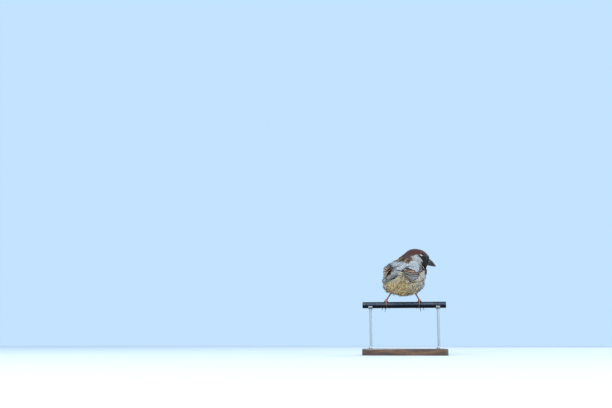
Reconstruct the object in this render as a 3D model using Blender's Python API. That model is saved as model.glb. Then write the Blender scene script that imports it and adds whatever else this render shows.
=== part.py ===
# A male house sparrow, life size, crouched on a short cut of black cable that a small plinth
# holds up on two rods. The bird looks away along +Y, with its head turned over its right side.
#
# Lengths below are millimetres and angles are degrees; meshes are made in metres. The origin is
# the middle of the plinth's underside, +X is to the bird's right and +Z is up.
#
# Head, neck and trunk share one smooth body form, a blend of named lobes. Each is that form seen
# from its own middle, cut flat where it meets the next, so the three fit face to face.

import math

import bmesh
import bpy
import numpy as np
from mathutils import Vector

MM = 0.001
GAP = 0.3  # clearance between neighbouring pieces
WING_GAP = 0.5  # clearance under the wings, over the facets of the trunk

# ---------------------------------------------------------------- stand and perch
PLINTH = (104.0, 64.0, 8.0)
PLINTH_CORNER = 6.0
PLINTH_CHAMFER = 1.2
PERCH_Z = 62.0  # height of the cable's middle line
CABLE_RADIUS = 3.9
CABLE_LENGTH = 104.0
ROD_RADIUS = 1.6
ROD_X = 42.0
SADDLE_WIDTH = 5.0  # along the cable
SADDLE_RADIUS = 5.4
SADDLE_DROP = 1.4  # the saddle's horns end this far under the cable's middle

# ---------------------------------------------------------------- the bird's stance
BODY_YAW, BODY_PITCH = 15.0, 10.0
BODY_MIDDLE = (0.5, 2.0, PERCH_Z + 34.8)
HEAD_YAW, HEAD_PITCH = 78.0, -15.0
HEAD_MIDDLE = (20.8, 29.0, PERCH_Z + 61.9)
BILL_PITCH = -25.0
BILL_BASE = 12.0  # from the head's middle to the root of the bill
TAIL_ROOT_BACK, TAIL_ROOT_UP = 33.0, 2.0  # from the body's middle
TAIL_TIP = (-13.6, -87.0, PERCH_Z + 28.4)
TAIL_ROLL = -30.0  # the left edge hangs lower

# ---------------------------------------------------------------- soft parts
BILL_LENGTH = 12.6
BILL_HALF_WIDTH = 3.8
BILL_UPPER_DEPTH, BILL_LOWER_DEPTH = 4.7, 3.9
EYE_RADIUS = 3.0
EYE_FORWARD, EYE_UP, EYE_OUT = 4.3, 1.9, 8.8
TAIL_HALF_WIDTH_ROOT, TAIL_HALF_WIDTH_TIP = 5.0, 8.2
TAIL_THICKNESS_ROOT, TAIL_THICKNESS_TIP = 2.0, 0.9
TAIL_NOTCH = 2.6
WING_THICKNESS = 2.1
WING_EDGE = 0.7

# ---------------------------------------------------------------- legs
FOOT_X = {"left": -22.4, "right": 19.4}
FOOT_UP = CABLE_RADIUS + 1.55  # the foot joint's middle above the cable's middle
HEEL = {"left": (-15.2, -12.5, 15.0), "right": (13.6, -12.5, 15.4)}  # from the perch middle
THIGH_TOP = {"left": (-11.0, 0.0, 25.0), "right": (10.6, -1.0, 25.0)}
THIGH_RADIUS, THIGH_HEEL, THIGH_CUFF = 6.8, 2.7, 1.6
SHANK_BARE = 0.83  # share of the shank that shows under the feathers
SHANK_RADIUS = 0.85
TOE_RADIUS = 0.74
CLAW_RADIUS = 0.55
# name: (starts ahead of the joint, sideways start, sideways spread, degrees round the cable,
# length straight down from there, claw length); the hind toe goes round the near side
TOES = {
    "hind": (-0.6, 0.0, 0.5, -84.0, 0.0, 6.0),
    "inner": (0.5, 1.0, 1.8, 88.0, 0.6, 4.6),
    "middle": (0.7, 0.0, -1.0, 90.0, 3.6, 5.0),
    "outer": (0.5, -1.0, -3.2, 89.0, 2.4, 4.8),
}

COLOURS = {
    "crown": ((0.075, 0.03, 0.022), 0.85, 0.0),
    "neck": ((0.30, 0.20, 0.15), 0.85, 0.0),
    "trunk": ((0.36, 0.34, 0.31), 0.9, 0.0),
    "wing": ((0.14, 0.075, 0.045), 0.7, 0.0),
    "tail": ((0.07, 0.055, 0.05), 0.65, 0.0),
    "bill": ((0.022, 0.024, 0.03), 0.35, 0.0),
    "eye": ((0.012, 0.007, 0.005), 0.05, 0.0),
    "leg": ((0.34, 0.17, 0.13), 0.5, 0.0),
    "claw": ((0.06, 0.04, 0.035), 0.35, 0.0),
    "cable": ((0.012, 0.014, 0.018), 0.45, 0.0),
    "plinth": ((0.05, 0.027, 0.016), 0.4, 0.0),
    "rod": ((0.55, 0.55, 0.56), 0.3, 1.0),
}


# ================================================================ small helpers
def axes_of(yaw, pitch):
    """Forward, right and up of something that faces +Y, turned right by yaw and up by pitch."""
    y, p = math.radians(yaw), math.radians(pitch)
    forward = np.array([math.sin(y) * math.cos(p), math.cos(y) * math.cos(p), math.sin(p)])
    right = np.array([math.cos(y), -math.sin(y), 0.0])
    return forward, right, np.cross(right, forward)


def unit(v):
    return np.asarray(v, float) / np.linalg.norm(v)


def smooth_step(x, low, high):
    t = np.clip((x - low) / (high - low), 0.0, 1.0)
    return t * t * (3 - 2 * t)


def material_of(name):
    found = bpy.data.materials.get(name)
    if found:
        return found
    colour, roughness, metallic = COLOURS[name]
    made = bpy.data.materials.new(name)
    made.use_nodes = True
    shader = made.node_tree.nodes["Principled BSDF"]
    shader.inputs["Base Color"].default_value = (*colour, 1.0)
    shader.inputs["Roughness"].default_value = roughness
    shader.inputs["Metallic"].default_value = metallic
    return made


def add_object(name, mesh, material, smooth=35.0):
    mesh.materials.append(material_of(material))
    mesh.shade_smooth()
    mesh.set_sharp_from_angle(angle=math.radians(smooth))
    made = bpy.data.objects.new(name, mesh)
    bpy.context.scene.collection.objects.link(made)
    return made


def mesh_from(name, points, faces):
    """A mesh in metres from points in millimetres, with its faces turned outwards."""
    mesh = bpy.data.meshes.new(name)
    mesh.from_pydata([tuple(np.asarray(p) * MM) for p in points], [], faces)
    work = bmesh.new()
    work.from_mesh(mesh)
    bmesh.ops.recalc_face_normals(work, faces=work.faces)
    work.to_mesh(mesh)
    work.free()
    return mesh


def loft(name, rings, start=None, end=None):
    """A closed mesh through rings of equal counts, ended by a point or, with none, a flat cap."""
    count = len(rings[0])
    points = [p for ring in rings for p in ring]
    faces = []
    for i in range(len(rings) - 1):
        for j in range(count):
            a, b = i * count + j, i * count + (j + 1) % count
            faces.append((a, b, b + count, a + count))
    for tip, first in ((start, 0), (end, (len(rings) - 1) * count)):
        ring = list(range(first, first + count))
        if tip is None:
            faces.append(tuple(ring))
        else:
            points.append(tip)
            faces += [(ring[j], ring[(j + 1) % count], len(points) - 1) for j in range(count)]
    return mesh_from(name, points, faces)


def sheet(name, outer, inner):
    """A closed plate between two grids of points, rows along it and columns across."""
    rows, columns = outer.shape[:2]
    points = np.concatenate([outer.reshape(-1, 3), inner.reshape(-1, 3)])
    back = rows * columns
    faces = []
    for i in range(rows - 1):
        for j in range(columns - 1):
            a = i * columns + j
            quad = (a, a + 1, a + columns + 1, a + columns)
            faces.append(quad)
            faces.append(tuple(back + k for k in reversed(quad)))
    rim = [j for j in range(columns)]
    rim += [i * columns + columns - 1 for i in range(1, rows)]
    rim += [(rows - 1) * columns + j for j in range(columns - 2, -1, -1)]
    rim += [i * columns for i in range(rows - 2, 0, -1)]
    for a, b in zip(rim, rim[1:] + rim[:1]):
        faces.append((b, a, a + back, b + back))
    return mesh_from(name, points, faces)


def subtract(obj, mesh):
    """Cuts a mesh out of an object, and keeps the result on it."""
    cutter = bpy.data.objects.new(obj.name + "_cutter", mesh)
    bpy.context.scene.collection.objects.link(cutter)
    combine(obj, cutter, "DIFFERENCE")


def combine(obj, other, operation):
    boolean = obj.modifiers.new("boolean", "BOOLEAN")
    boolean.operation = operation
    boolean.object = other
    bpy.context.view_layer.update()
    graph = bpy.context.evaluated_depsgraph_get()
    made = bpy.data.meshes.new_from_object(obj.evaluated_get(graph))
    obj.modifiers.clear()
    obj.data = made
    bpy.data.objects.remove(other)


def cut_flat(obj, point, normal):
    """Removes what lies past a plane, in millimetres, and closes the cut."""
    work = bmesh.new()
    work.from_mesh(obj.data)
    made = bmesh.ops.bisect_plane(
        work,
        geom=[*work.verts, *work.edges, *work.faces],
        plane_co=Vector(np.asarray(point) * MM),
        plane_no=Vector(normal),
        dist=1e-6,
        clear_outer=True,
    )
    rim = [e for e in made["geom_cut"] if isinstance(e, bmesh.types.BMEdge)]
    bmesh.ops.holes_fill(work, edges=rim)
    bmesh.ops.remove_doubles(work, verts=work.verts, dist=2e-5)
    bmesh.ops.recalc_face_normals(work, faces=work.faces)
    work.to_mesh(obj.data)
    work.free()


# ================================================================ the body form
F, R, U = axes_of(BODY_YAW, BODY_PITCH)
HF, HR, HU = axes_of(HEAD_YAW, HEAD_PITCH)
BF, BR, BU = axes_of(HEAD_YAW, BILL_PITCH)
MIDDLE, HEAD = np.array(BODY_MIDDLE), np.array(HEAD_MIDDLE)
TAIL_ROOT = MIDDLE - TAIL_ROOT_BACK * F + TAIL_ROOT_UP * U
TF = unit(np.array(TAIL_TIP) - TAIL_ROOT)
TAIL_LEVEL = unit(np.cross(-TF, (0.0, 0.0, 1.0)))
TAIL_LIFT = np.cross(TAIL_LEVEL, -TF)
TR = (math.cos(math.radians(TAIL_ROLL)) * TAIL_LEVEL
      - math.sin(math.radians(TAIL_ROLL)) * TAIL_LIFT)
TU = np.cross(TR, -TF)


def in_body(forward, right, up):
    return MIDDLE + forward * F + right * R + up * U


def in_head(forward, right, up):
    return HEAD + forward * HF + right * HR + up * HU


def lobe(middle, radii, axes, blend):
    """An egg: radii are sideways, lengthwise and upright, along the axes' right, forward and up."""
    forward, right, up = axes
    turn = np.stack([right, forward, up], 1)
    radii = np.array(radii, float)

    def distance(p):
        q = (p - middle) @ turn / radii
        reach = np.linalg.norm(q, axis=-1)
        slope = np.linalg.norm(q / radii, axis=-1)
        return np.where(slope > 1e-9, reach * (reach - 1) / np.maximum(slope, 1e-9), -radii.min())

    return distance, blend


def bridge(start, start_radius, end, end_radius, blend):
    """A round cone with ball ends."""
    start, end = np.array(start, float), np.array(end, float)
    along = end - start

    def distance(p):
        t = np.clip((p - start) @ along / (along @ along), 0.0, 1.0)
        radius = start_radius + (end_radius - start_radius) * t
        return np.linalg.norm(p - start - t[..., None] * along, axis=-1) - radius

    return distance, blend


BODY_AXES, HEAD_AXES = (F, R, U), (HF, HR, HU)
TAIL_AXES = (-TF, TR, TU)
BODY_LOBES = [
    lobe(MIDDLE, (21.4, 34.0, 22.2), BODY_AXES, 0),
    lobe(in_body(14, 1.5, -2.0), (21.4, 21.0, 21.0), BODY_AXES, 6),
    lobe(in_body(-13, -0.5, 1.0), (19.8, 21.0, 18.5), BODY_AXES, 6),
    lobe(in_body(-24, 0, -3.5), (15.0, 18.0, 13.0), BODY_AXES, 9),
    lobe(in_body(1, 13.5, -7.5), (11.0, 21.0, 10.5), BODY_AXES, 5),  # flanks
    lobe(in_body(1, -14.8, -8.0), (11.4, 21.0, 10.0), BODY_AXES, 5),
    lobe(in_body(1, 1.0, -11.6), (16.0, 22.0, 9.8), BODY_AXES, 5),  # belly
    lobe(in_body(4, -11.0, 9.0), (11.0, 20.0, 10.8), BODY_AXES, 5),  # shoulders
    lobe(in_body(4, 10.5, 9.0), (11.0, 20.0, 10.4), BODY_AXES, 5),
    lobe(TAIL_ROOT + 9 * TF, (8.6, 17.0, 5.6), TAIL_AXES, 9),
]
NECK_LOBES = [
    bridge(in_body(14, 0, 6), 18.0, in_head(-7, 0, -3), 12.2, 9),
    bridge(in_head(4.5, 0, -7), 6.4, in_body(23, 6, 4), 14.0, 6),
]
HEAD_LOBES = [
    lobe(HEAD, (11.6, 12.4, 11.4), HEAD_AXES, 5),
    lobe(in_head(-8.2, 0, -1.6), (11.2, 11.0, 9.8), HEAD_AXES, 5),  # nape
    lobe(in_head(1.5, 0, -4.0), (12.2, 9.0, 7.0), HEAD_AXES, 4),  # cheeks
    lobe(HEAD + (BILL_BASE - 5.0) * BF + 0.6 * BU, (6.6, 7.4, 6.4), (BF, BR, BU), 5),  # face
]
WHOLE = BODY_LOBES + NECK_LOBES + HEAD_LOBES


def form(lobes):
    """The smooth union of lobes as a function of points, less than zero inside."""

    def value(p):
        found = None
        for distance, blend in lobes:
            d = distance(p)
            if found is None:
                found = d
                continue
            h = np.clip(0.5 + 0.5 * (found - d) / blend, 0.0, 1.0)
            found = d * h + found * (1 - h) - blend * h * (1 - h)
        return found

    return value


def reach(value, origins, directions, limit=70.0):
    """How far from each origin, along its direction, the form's surface is."""
    steps = np.linspace(0.0, limit, 141)
    at = origins[:, None] + steps[None, :, None] * directions[:, None]
    outside = value(at) > 0
    first = np.argmax(outside, axis=1)
    first = np.where(outside.any(axis=1), np.maximum(first, 1), len(steps) - 1)
    low, high = steps[first - 1], steps[first]
    for _ in range(24):
        middle = (low + high) / 2
        out = value(origins + middle[:, None] * directions) > 0
        low, high = np.where(out, low, middle), np.where(out, middle, high)
    return (low + high) / 2


def outwards(value, p, step=0.05):
    """The form's outward direction at points."""
    shifts = np.eye(3) * step
    slope = np.stack([value(p + s) - value(p - s) for s in shifts], -1)
    return slope / np.linalg.norm(slope, axis=-1, keepdims=True)


def ringed(name, value, spine, axes, rings, segments, even=False):
    """The form round a spine of inner points, with a pole on the surface at each end.

    Rings crowd towards the poles, unless they are even.
    """
    forward, right, up = axes
    spine = np.array(spine, float)
    ends = np.array([spine[0], spine[-1]])
    aims = np.array([unit(spine[0] - spine[1]), unit(spine[-1] - spine[-2])])
    poles = ends + reach(value, ends, aims)[:, None] * aims
    path = np.concatenate([poles[:1], spine, poles[1:]])
    length = np.concatenate([[0], np.cumsum(np.linalg.norm(np.diff(path, axis=0), axis=1))])
    share = np.arange(1, rings + 1) / (rings + 1)
    share = share if even else (1 - np.cos(np.pi * share)) / 2
    middles = np.stack([np.interp(share * length[-1], length, path[:, k]) for k in range(3)], 1)
    turn = 2 * np.pi * np.arange(segments) / segments
    rays = np.cos(turn)[:, None] * up + np.sin(turn)[:, None] * right
    origins = np.repeat(middles, segments, 0)
    rays = np.tile(rays, (rings, 1))
    surface = origins + reach(value, origins, rays)[:, None] * rays
    return loft(name, surface.reshape(rings, segments, 3), poles[0], poles[1])


# ================================================================ flesh of head, neck and trunk
NECK_TRUNK = (np.array([6.5, 19.5, PERCH_Z + 48.5]), unit((0.42, 0.62, 0.66)))
HEAD_NECK = (HEAD - 8.5 * unit((0.50, 0.35, 0.79)), unit((0.50, 0.35, 0.79)))


def add_trunk():
    spine = [TAIL_ROOT + 9 * TF, TAIL_ROOT, MIDDLE, in_body(18, 0, 0)]
    mesh = ringed("trunk", form(WHOLE), spine, BODY_AXES, 26, 30)
    trunk = add_object("trunk", mesh, "trunk")
    point, normal = NECK_TRUNK
    cut_flat(trunk, point - normal * GAP / 2, normal)
    subtract(trunk, tail_mesh("tail_socket", GAP + 0.05))
    for side in ("left", "right"):
        subtract(trunk, thigh_mesh(side, GAP + 0.1))


def add_neck():
    start, end = in_body(8, 2, 2), in_head(-2, 0, 0)
    along = unit(end - start)
    right = unit(np.cross(along, (0, 0, 1.0)))
    axes = (along, right, np.cross(right, along))
    mesh = ringed("neck", form(WHOLE), [start, end], axes, 26, 32, even=True)
    neck = add_object("neck", mesh, "neck")
    for (point, normal), side in ((NECK_TRUNK, -1), (HEAD_NECK, 1)):
        cut_flat(neck, point - side * normal * GAP / 2, side * normal)
    return neck


def add_head():
    spine = [in_head(-9, 0, 0), HEAD, HEAD + (BILL_BASE - 6) * BF]
    mesh = ringed("head", form(WHOLE), spine, HEAD_AXES, 19, 28)
    head = add_object("head", mesh, "crown")
    point, normal = HEAD_NECK
    cut_flat(head, point + normal * GAP / 2, -normal)
    cut_flat(head, HEAD + (BILL_BASE - GAP) * BF, BF)
    for side in ("left", "right"):
        subtract(head, ball("socket", eye_middle(side), EYE_RADIUS + GAP, 16, 12))
    return head


# ================================================================ eyes and bill
def eye_middle(side):
    return in_head(EYE_FORWARD, EYE_OUT if side == "right" else -EYE_OUT, EYE_UP)


def ball(name, middle, radius, segments, rings):
    made = []
    for i in range(1, rings):
        polar = math.pi * i / rings
        turn = 2 * np.pi * np.arange(segments) / segments
        ring = np.stack([np.cos(turn), np.sin(turn), 0 * turn], 1) * math.sin(polar)
        ring[:, 2] = math.cos(polar)
        made.append(middle + radius * ring)
    up = np.array([0, 0, radius])
    return loft(name, made, middle + up, middle - up)


def add_eye(side):
    add_object(f"eye_{side}", ball("eye", eye_middle(side), EYE_RADIUS, 14, 10), "eye")


def bill_ring(x, upper):
    """Half of the bill's section, x along it: a flat cutting edge under or over an arch."""
    t = min(x / BILL_LENGTH, 1.0)
    width = BILL_HALF_WIDTH * (1 - t ** 1.25) + 0.12
    if upper:
        arch, edge = BILL_UPPER_DEPTH * (1 - t ** 1.7) + 0.15, GAP / 2
    else:
        arch, edge = -BILL_LOWER_DEPTH * (1 - t ** 1.35) - 0.1, -GAP / 2
    drop = -0.5 * t * t  # the tip hooks down a little
    root = HEAD + (BILL_BASE + x) * BF + (edge + drop) * BU
    turns = np.linspace(0, math.pi, 9)
    arc = [root + width * math.cos(a) * BR + arch * math.sin(a) * BU for a in turns]
    return arc + [root - 0.4 * width * BR, root + 0.4 * width * BR]


def add_bill(upper):
    name = "bill_upper" if upper else "bill_lower"
    length = BILL_LENGTH if upper else BILL_LENGTH - 0.7
    stations = [length * t for t in (0, 0.14, 0.3, 0.46, 0.62, 0.77, 0.9, 0.98)]
    add_object(name, loft(name, [bill_ring(x, upper) for x in stations]), "bill")


# ================================================================ tail and wings
def tail_mesh(name, grown=0.0):
    """The shut tail as one arched plate with a shallow notch; grown makes its socket."""
    length = np.linalg.norm(np.array(TAIL_TIP) - TAIL_ROOT)
    rows, columns = 8, 11
    top = np.zeros((rows, columns, 3))
    under = np.zeros((rows, columns, 3))
    for j in range(columns):
        across = -1 + 2 * j / (columns - 1)
        notch = TAIL_NOTCH * (1 - abs(across)) ** 1.5 + 2.2 * smooth_step(abs(across), 0.75, 1.0)
        for i in range(rows):
            t = i / (rows - 1)
            x = -grown + (length - notch + 2 * grown) * t
            wide = TAIL_HALF_WIDTH_ROOT + (TAIL_HALF_WIDTH_TIP - TAIL_HALF_WIDTH_ROOT) * t
            thick = TAIL_THICKNESS_ROOT + (TAIL_THICKNESS_TIP - TAIL_THICKNESS_ROOT) * t
            thick = thick * (1 - 0.35 * across ** 2) / 2 + grown
            arch = 1.3 * (1 - across ** 2) - 0.8
            at = TAIL_ROOT + x * TF + across * (wide + grown) * TR + arch * TU
            top[i, j], under[i, j] = at + thick * TU, at - thick * TU
    return sheet(name, top, under)


# Each wing's panels: (from, to) millimetres ahead of the body's middle, then where the upper and
# lower edges lie, in degrees round the body from its back, at the panel's front, middle and rear.
# The left wing hangs with its tip well below the tail's edge.
WINGS = {
    "left": {
        "coverts": ((23.0, -9.3), (60, 52, 52), (92, 101, 102)),
        "secondaries": ((-9.7, -41.0), (52, 34, 30), (82, 80, 80)),
        "primaries": ((-9.7, -55.0), (83.2, 81.5, 84), (102, 106, 106)),
    },
    "right": {
        "coverts": ((23.0, -9.3), (60, 55, 58), (92, 101, 102)),
        "secondaries": ((-9.7, -41.0), (58, 42, 36), (82, 77, 64)),
        "primaries": ((-9.7, -57.0), (83.2, 78.2, 50), (102, 98, 60)),
    },
}


def wing_rest():
    """What the shut wings lie on: the body, drawn out along the root of the tail."""
    return form(WHOLE + [bridge(in_body(-18, 0, 1), 16.5, TAIL_ROOT + 26 * TF, 8.0, 6)])


def wing_axis(x):
    """The inner line that the wing is measured round, x ahead of the body's middle."""
    ahead = in_body(max(x, -TAIL_ROOT_BACK), 0, 0)
    behind = TAIL_ROOT + (-TAIL_ROOT_BACK - x) * TF
    share = float(smooth_step(-x, 20.0, TAIL_ROOT_BACK + 8.0))
    return ahead * (1 - share) + behind * share if x < -20 else ahead


def add_wing(side, panel):
    (start, stop), upper, lower = WINGS[side][panel]
    sign = 1 if side == "right" else -1
    value = wing_rest()
    rows, columns = (9, 9) if panel == "coverts" else (11, 6)
    origins, rays, thick = [], [], []
    for i in range(rows):
        t = i / (rows - 1)
        x = start + (stop - start) * t
        high, low = (np.interp(t, (0, 0.5, 1), edge) for edge in (upper, lower))
        for j in range(columns):
            s = j / (columns - 1)
            turn = math.radians(high + (low - high) * s)
            origins.append(wing_axis(x))
            rays.append(math.cos(turn) * U + sign * math.sin(turn) * R)
            bulge = math.sin(math.pi * s) ** 0.6 * (1 - 0.65 * smooth_step(-x, 0.0, 57.0))
            if panel == "coverts":
                bulge *= math.sin(math.pi * (0.12 + 0.5 * t))
            thick.append(WING_EDGE + (WING_THICKNESS - WING_EDGE) * bulge)
    origins, rays, thick = np.array(origins), np.array(rays), np.array(thick)
    surface = origins + reach(value, origins, rays)[:, None] * rays
    away = outwards(value, surface)
    inner = (surface + WING_GAP * away).reshape(rows, columns, 3)
    outer = (surface + (WING_GAP + thick)[:, None] * away).reshape(rows, columns, 3)
    name = f"wing_{side}_{panel}"
    add_object(name, sheet(name, outer, inner), "wing")


# ================================================================ legs
def perch(x, y, z):
    return np.array([x, y, PERCH_Z + z])


def tube_rings(path, radii, sides, across=(1.0, 0.0, 0.0)):
    """Rings of a tapering tube along a path."""
    path = np.array(path, float)
    made = []
    for k, (p, radius) in enumerate(zip(path, radii)):
        along = unit(path[min(k + 1, len(path) - 1)] - path[max(k - 1, 0)])
        one = unit(np.cross(along, across))
        two = np.cross(along, one)
        turn = 2 * np.pi * np.arange(sides) / sides
        made.append(p + radius * (np.cos(turn)[:, None] * one + np.sin(turn)[:, None] * two))
    return made


def foot_joint(side):
    return perch(FOOT_X[side], 0.0, FOOT_UP)


def thigh_mesh(side, grown=0.0):
    """The feathered upper leg, from inside the belly down to a narrow cuff round the shank."""
    top, heel = perch(*THIGH_TOP[side]), perch(*HEEL[side])
    along = unit(heel - top)
    down = unit(foot_joint(side) - heel)
    cuff = heel + (1 - SHANK_BARE) * np.linalg.norm(foot_joint(side) - heel) * down
    path, radii = [], []
    for t in (0.0, 0.2, 0.4, 0.6, 0.8, 1.0):
        path.append(top + (heel - top) * t)
        radii.append(THIGH_RADIUS + (THIGH_HEEL - THIGH_RADIUS) * t + grown)
    path.append(cuff + grown * down)
    radii.append(THIGH_CUFF + grown)
    start = top - (THIGH_RADIUS * 0.7 + grown) * along
    return loft("thigh", tube_rings(path, radii, 14), start)


def add_shank(side):
    """The bare, scaled shank from the feather cuff to the foot joint."""
    heel, joint = perch(*HEEL[side]), foot_joint(side)
    along = unit(joint - heel)
    start = heel + (joint - heel) * (1 - SHANK_BARE) + GAP * along
    end = joint - 2.3 * along
    stops = (0, 0.2, 0.5, 0.8, 1)
    radii = [SHANK_RADIUS * k for k in (1.25, 1.05, 1.0, 1.05, 1.3)]
    path = [start + (end - start) * t for t in stops]
    name = f"shank_{side}"
    add_object(name, loft(name, tube_rings(path, radii, 10)), "leg")


def toe_path(side, toe, count):
    """Points from the foot joint over the cable and round it, then the way the toe ends."""
    ahead, start, spread, round_by, drop, _ = TOES[toe]
    sign = 1 if side == "left" else -1  # the inner toe points to the other foot
    radius = CABLE_RADIUS + GAP + TOE_RADIUS
    made = []
    arc = radius * math.radians(abs(round_by))
    for k in range(count):
        t = k / (count - 1)
        bent = min(t * (arc + drop) / arc, 1.0)
        turn = math.radians(round_by * bent)
        lift = (FOOT_UP - radius) * (1 - bent) ** 2 * 0.8
        x = FOOT_X[side] + sign * (start + spread * t)
        y = ahead * (1 - bent) + (radius + lift) * math.sin(turn)
        down = max(t * (arc + drop) - arc, 0.0)
        made.append(perch(x, y, (radius + lift) * math.cos(turn) - down))
    return made


def add_foot(side):
    """Three toes over the far side of the cable and one down its near side, on one joint pad."""
    middle = foot_joint(side) + 0.3 * unit(perch(*HEEL[side]) - foot_joint(side))
    pad = add_object(f"foot_{side}", ball("pad", middle, 1.45, 9, 7), "leg")
    for toe in TOES:
        path = toe_path(side, toe, 8)
        radii = [TOE_RADIUS * k for k in (1.1, 1.0, 1.06, 0.94, 1.02, 0.9, 0.94, 0.72)]
        other = bpy.data.objects.new("toe", loft("toe", tube_rings(path, radii, 7)))
        bpy.context.scene.collection.objects.link(other)
        combine(pad, other, "UNION")


def add_claw(side, toe):
    """A curved claw that goes on from the toe and hooks in under the cable."""
    path = toe_path(side, toe, 8)
    along = unit(path[-1] - path[-2])
    length, round_by = TOES[toe][5], TOES[toe][3]
    hook = np.array([0.0, -1.0, 0.0]) if round_by > 0 else np.array([0.0, 1.0, 0.0])
    start = path[-1] + GAP * along
    stops = np.linspace(0, 1, 6)
    spine = [start + length * (t * along + 0.28 * t * t * hook) for t in stops]
    radii = [CLAW_RADIUS * (1 - t) ** 0.8 + 0.08 for t in stops]
    name = f"claw_{side}_{toe}"
    add_object(name, loft(name, tube_rings(spine, radii, 7)), "claw")


# ================================================================ perch and stand
def add_cable():
    path = [perch(x * CABLE_LENGTH / 2, 0, 0) for x in (-1, 1)]
    rings = tube_rings(path, [CABLE_RADIUS] * 2, 24, (0.0, 1.0, 0.0))
    add_object("perch_cable", loft("perch_cable", rings), "cable", 50.0)


def add_plinth():
    long, wide, high = PLINTH
    work = bmesh.new()
    bmesh.ops.create_cube(work, size=1.0)
    bmesh.ops.scale(work, vec=Vector(PLINTH) * MM, verts=work.verts)
    bmesh.ops.translate(work, vec=Vector((0, 0, high / 2)) * MM, verts=work.verts)
    upright = [e for e in work.edges if abs(e.verts[0].co.z - e.verts[1].co.z) > high * MM / 2]
    bmesh.ops.bevel(work, geom=upright, offset=PLINTH_CORNER * MM, segments=5,
                    profile=0.5, affect="EDGES")
    rim = [e for e in work.edges if all(v.co.z > (high - 0.01) * MM for v in e.verts)]
    bmesh.ops.bevel(work, geom=rim, offset=PLINTH_CHAMFER * MM, segments=2,
                    profile=0.5, affect="EDGES")
    mesh = bpy.data.meshes.new("stand_base")
    work.to_mesh(mesh)
    work.free()
    add_object("stand_base", mesh, "plinth")


def add_rod(side, x):
    """A round rod that opens into a half-round saddle under the cable."""
    foot, neck = PLINTH[2] + GAP, PERCH_Z - SADDLE_RADIUS
    rings = tube_rings([(x, 0, foot), (x, 0, neck + 1.0)], [ROD_RADIUS] * 2, 16)
    name = f"stand_rod_{side}"
    rod = add_object(name, loft(name, rings), "rod")
    half = SADDLE_WIDTH / 2
    ends = [perch(x - half, 0, 0), perch(x + half, 0, 0)]
    saddle = loft("saddle", tube_rings(ends, [SADDLE_RADIUS] * 2, 28, (0.0, 1.0, 0.0)))
    other = bpy.data.objects.new("saddle", saddle)
    bpy.context.scene.collection.objects.link(other)
    combine(rod, other, "UNION")
    ends = [perch(x - half - 1, 0, 0), perch(x + half + 1, 0, 0)]
    hollow = tube_rings(ends, [CABLE_RADIUS + GAP] * 2, 28, (0.0, 1.0, 0.0))
    subtract(rod, loft("hollow", hollow))
    cut_flat(rod, perch(x, 0, -SADDLE_DROP), (0.0, 0.0, 1.0))


# ================================================================ build
def main():
    for old in list(bpy.data.objects):
        bpy.data.objects.remove(old)
    add_trunk()
    add_neck()
    add_head()
    for upper in (True, False):
        add_bill(upper)
    add_object("tail", tail_mesh("tail"), "tail")
    for side in ("left", "right"):
        add_eye(side)
        for panel in WINGS[side]:
            add_wing(side, panel)
        add_object(f"thigh_{side}", thigh_mesh(side), "trunk")
        add_shank(side)
        add_foot(side)
        for toe in TOES:
            add_claw(side, toe)
    add_cable()
    add_plinth()
    add_rod("left", -ROD_X)
    add_rod("right", ROD_X)


main()
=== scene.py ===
import math
import random
from functools import partial

import bmesh
import bpy
import numpy as np
from mathutils import Matrix, Vector, noise
from mathutils.bvhtree import BVHTree


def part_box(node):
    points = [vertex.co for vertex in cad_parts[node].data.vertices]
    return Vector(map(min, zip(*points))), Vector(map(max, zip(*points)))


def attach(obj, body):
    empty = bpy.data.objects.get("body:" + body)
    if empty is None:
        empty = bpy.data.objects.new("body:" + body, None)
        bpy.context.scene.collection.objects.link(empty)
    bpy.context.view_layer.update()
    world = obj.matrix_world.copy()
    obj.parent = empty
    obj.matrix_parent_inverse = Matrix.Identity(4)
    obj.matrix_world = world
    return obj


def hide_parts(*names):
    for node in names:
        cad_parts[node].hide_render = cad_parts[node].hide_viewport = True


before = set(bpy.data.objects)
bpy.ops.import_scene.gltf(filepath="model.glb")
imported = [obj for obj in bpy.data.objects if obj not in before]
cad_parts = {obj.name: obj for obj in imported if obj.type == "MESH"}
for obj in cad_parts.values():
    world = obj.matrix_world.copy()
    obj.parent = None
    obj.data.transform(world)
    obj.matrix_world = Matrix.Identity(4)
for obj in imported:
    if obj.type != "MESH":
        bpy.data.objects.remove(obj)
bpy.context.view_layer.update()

mm = 0.001
sides = {"left": -1, "right": 1}  # with the sign of each along the bird's right

# Places are millimetres in the frame's own axes: +Z up, +X to the bird's right, +Y the way it looks.
stance = {
    "bodyYaw": 15.0, "bodyPitch": 10.0, "bodyMiddle": (0.5, 2.0, 96.8),
    "headYaw": 78.0, "headPitch": -15.0, "headMiddle": (20.8, 29.0, 123.9),
    "billPitch": -25.0,
    "tailRootBack": 33.0, "tailRootUp": 2.0, "tailTip": (-13.6, -87.0, 90.4), "tailRoll": -30.0,
    "neckCut": (0.50, 0.35, 0.79),  # the way the head leaves the neck
}


def unit(v):
    v = np.asarray(v, float)
    return v / np.maximum(np.linalg.norm(v, axis=-1, keepdims=True), 1e-12)


def axesOf(yaw, pitch):  # forward, right and up
    y, p = math.radians(yaw), math.radians(pitch)
    forward = np.array([math.sin(y) * math.cos(p), math.cos(y) * math.cos(p), math.sin(p)])
    right = np.array([math.cos(y), -math.sin(y), 0.0])
    return forward, right, np.cross(right, forward)


def ease(x, low, high):  # 0 at low, 1 at high, smooth between
    t = np.clip((np.asarray(x, float) - low) / (high - low), 0, 1)
    return t * t * (3 - 2 * t)


def blend(a, b, share):
    return a + (b - a) * np.asarray(share)[..., None]


def farFrom(points, spots):  # to the nearest of a few spots
    return np.min([np.linalg.norm(points - spot, axis=1) for spot in spots], axis=0)


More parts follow.
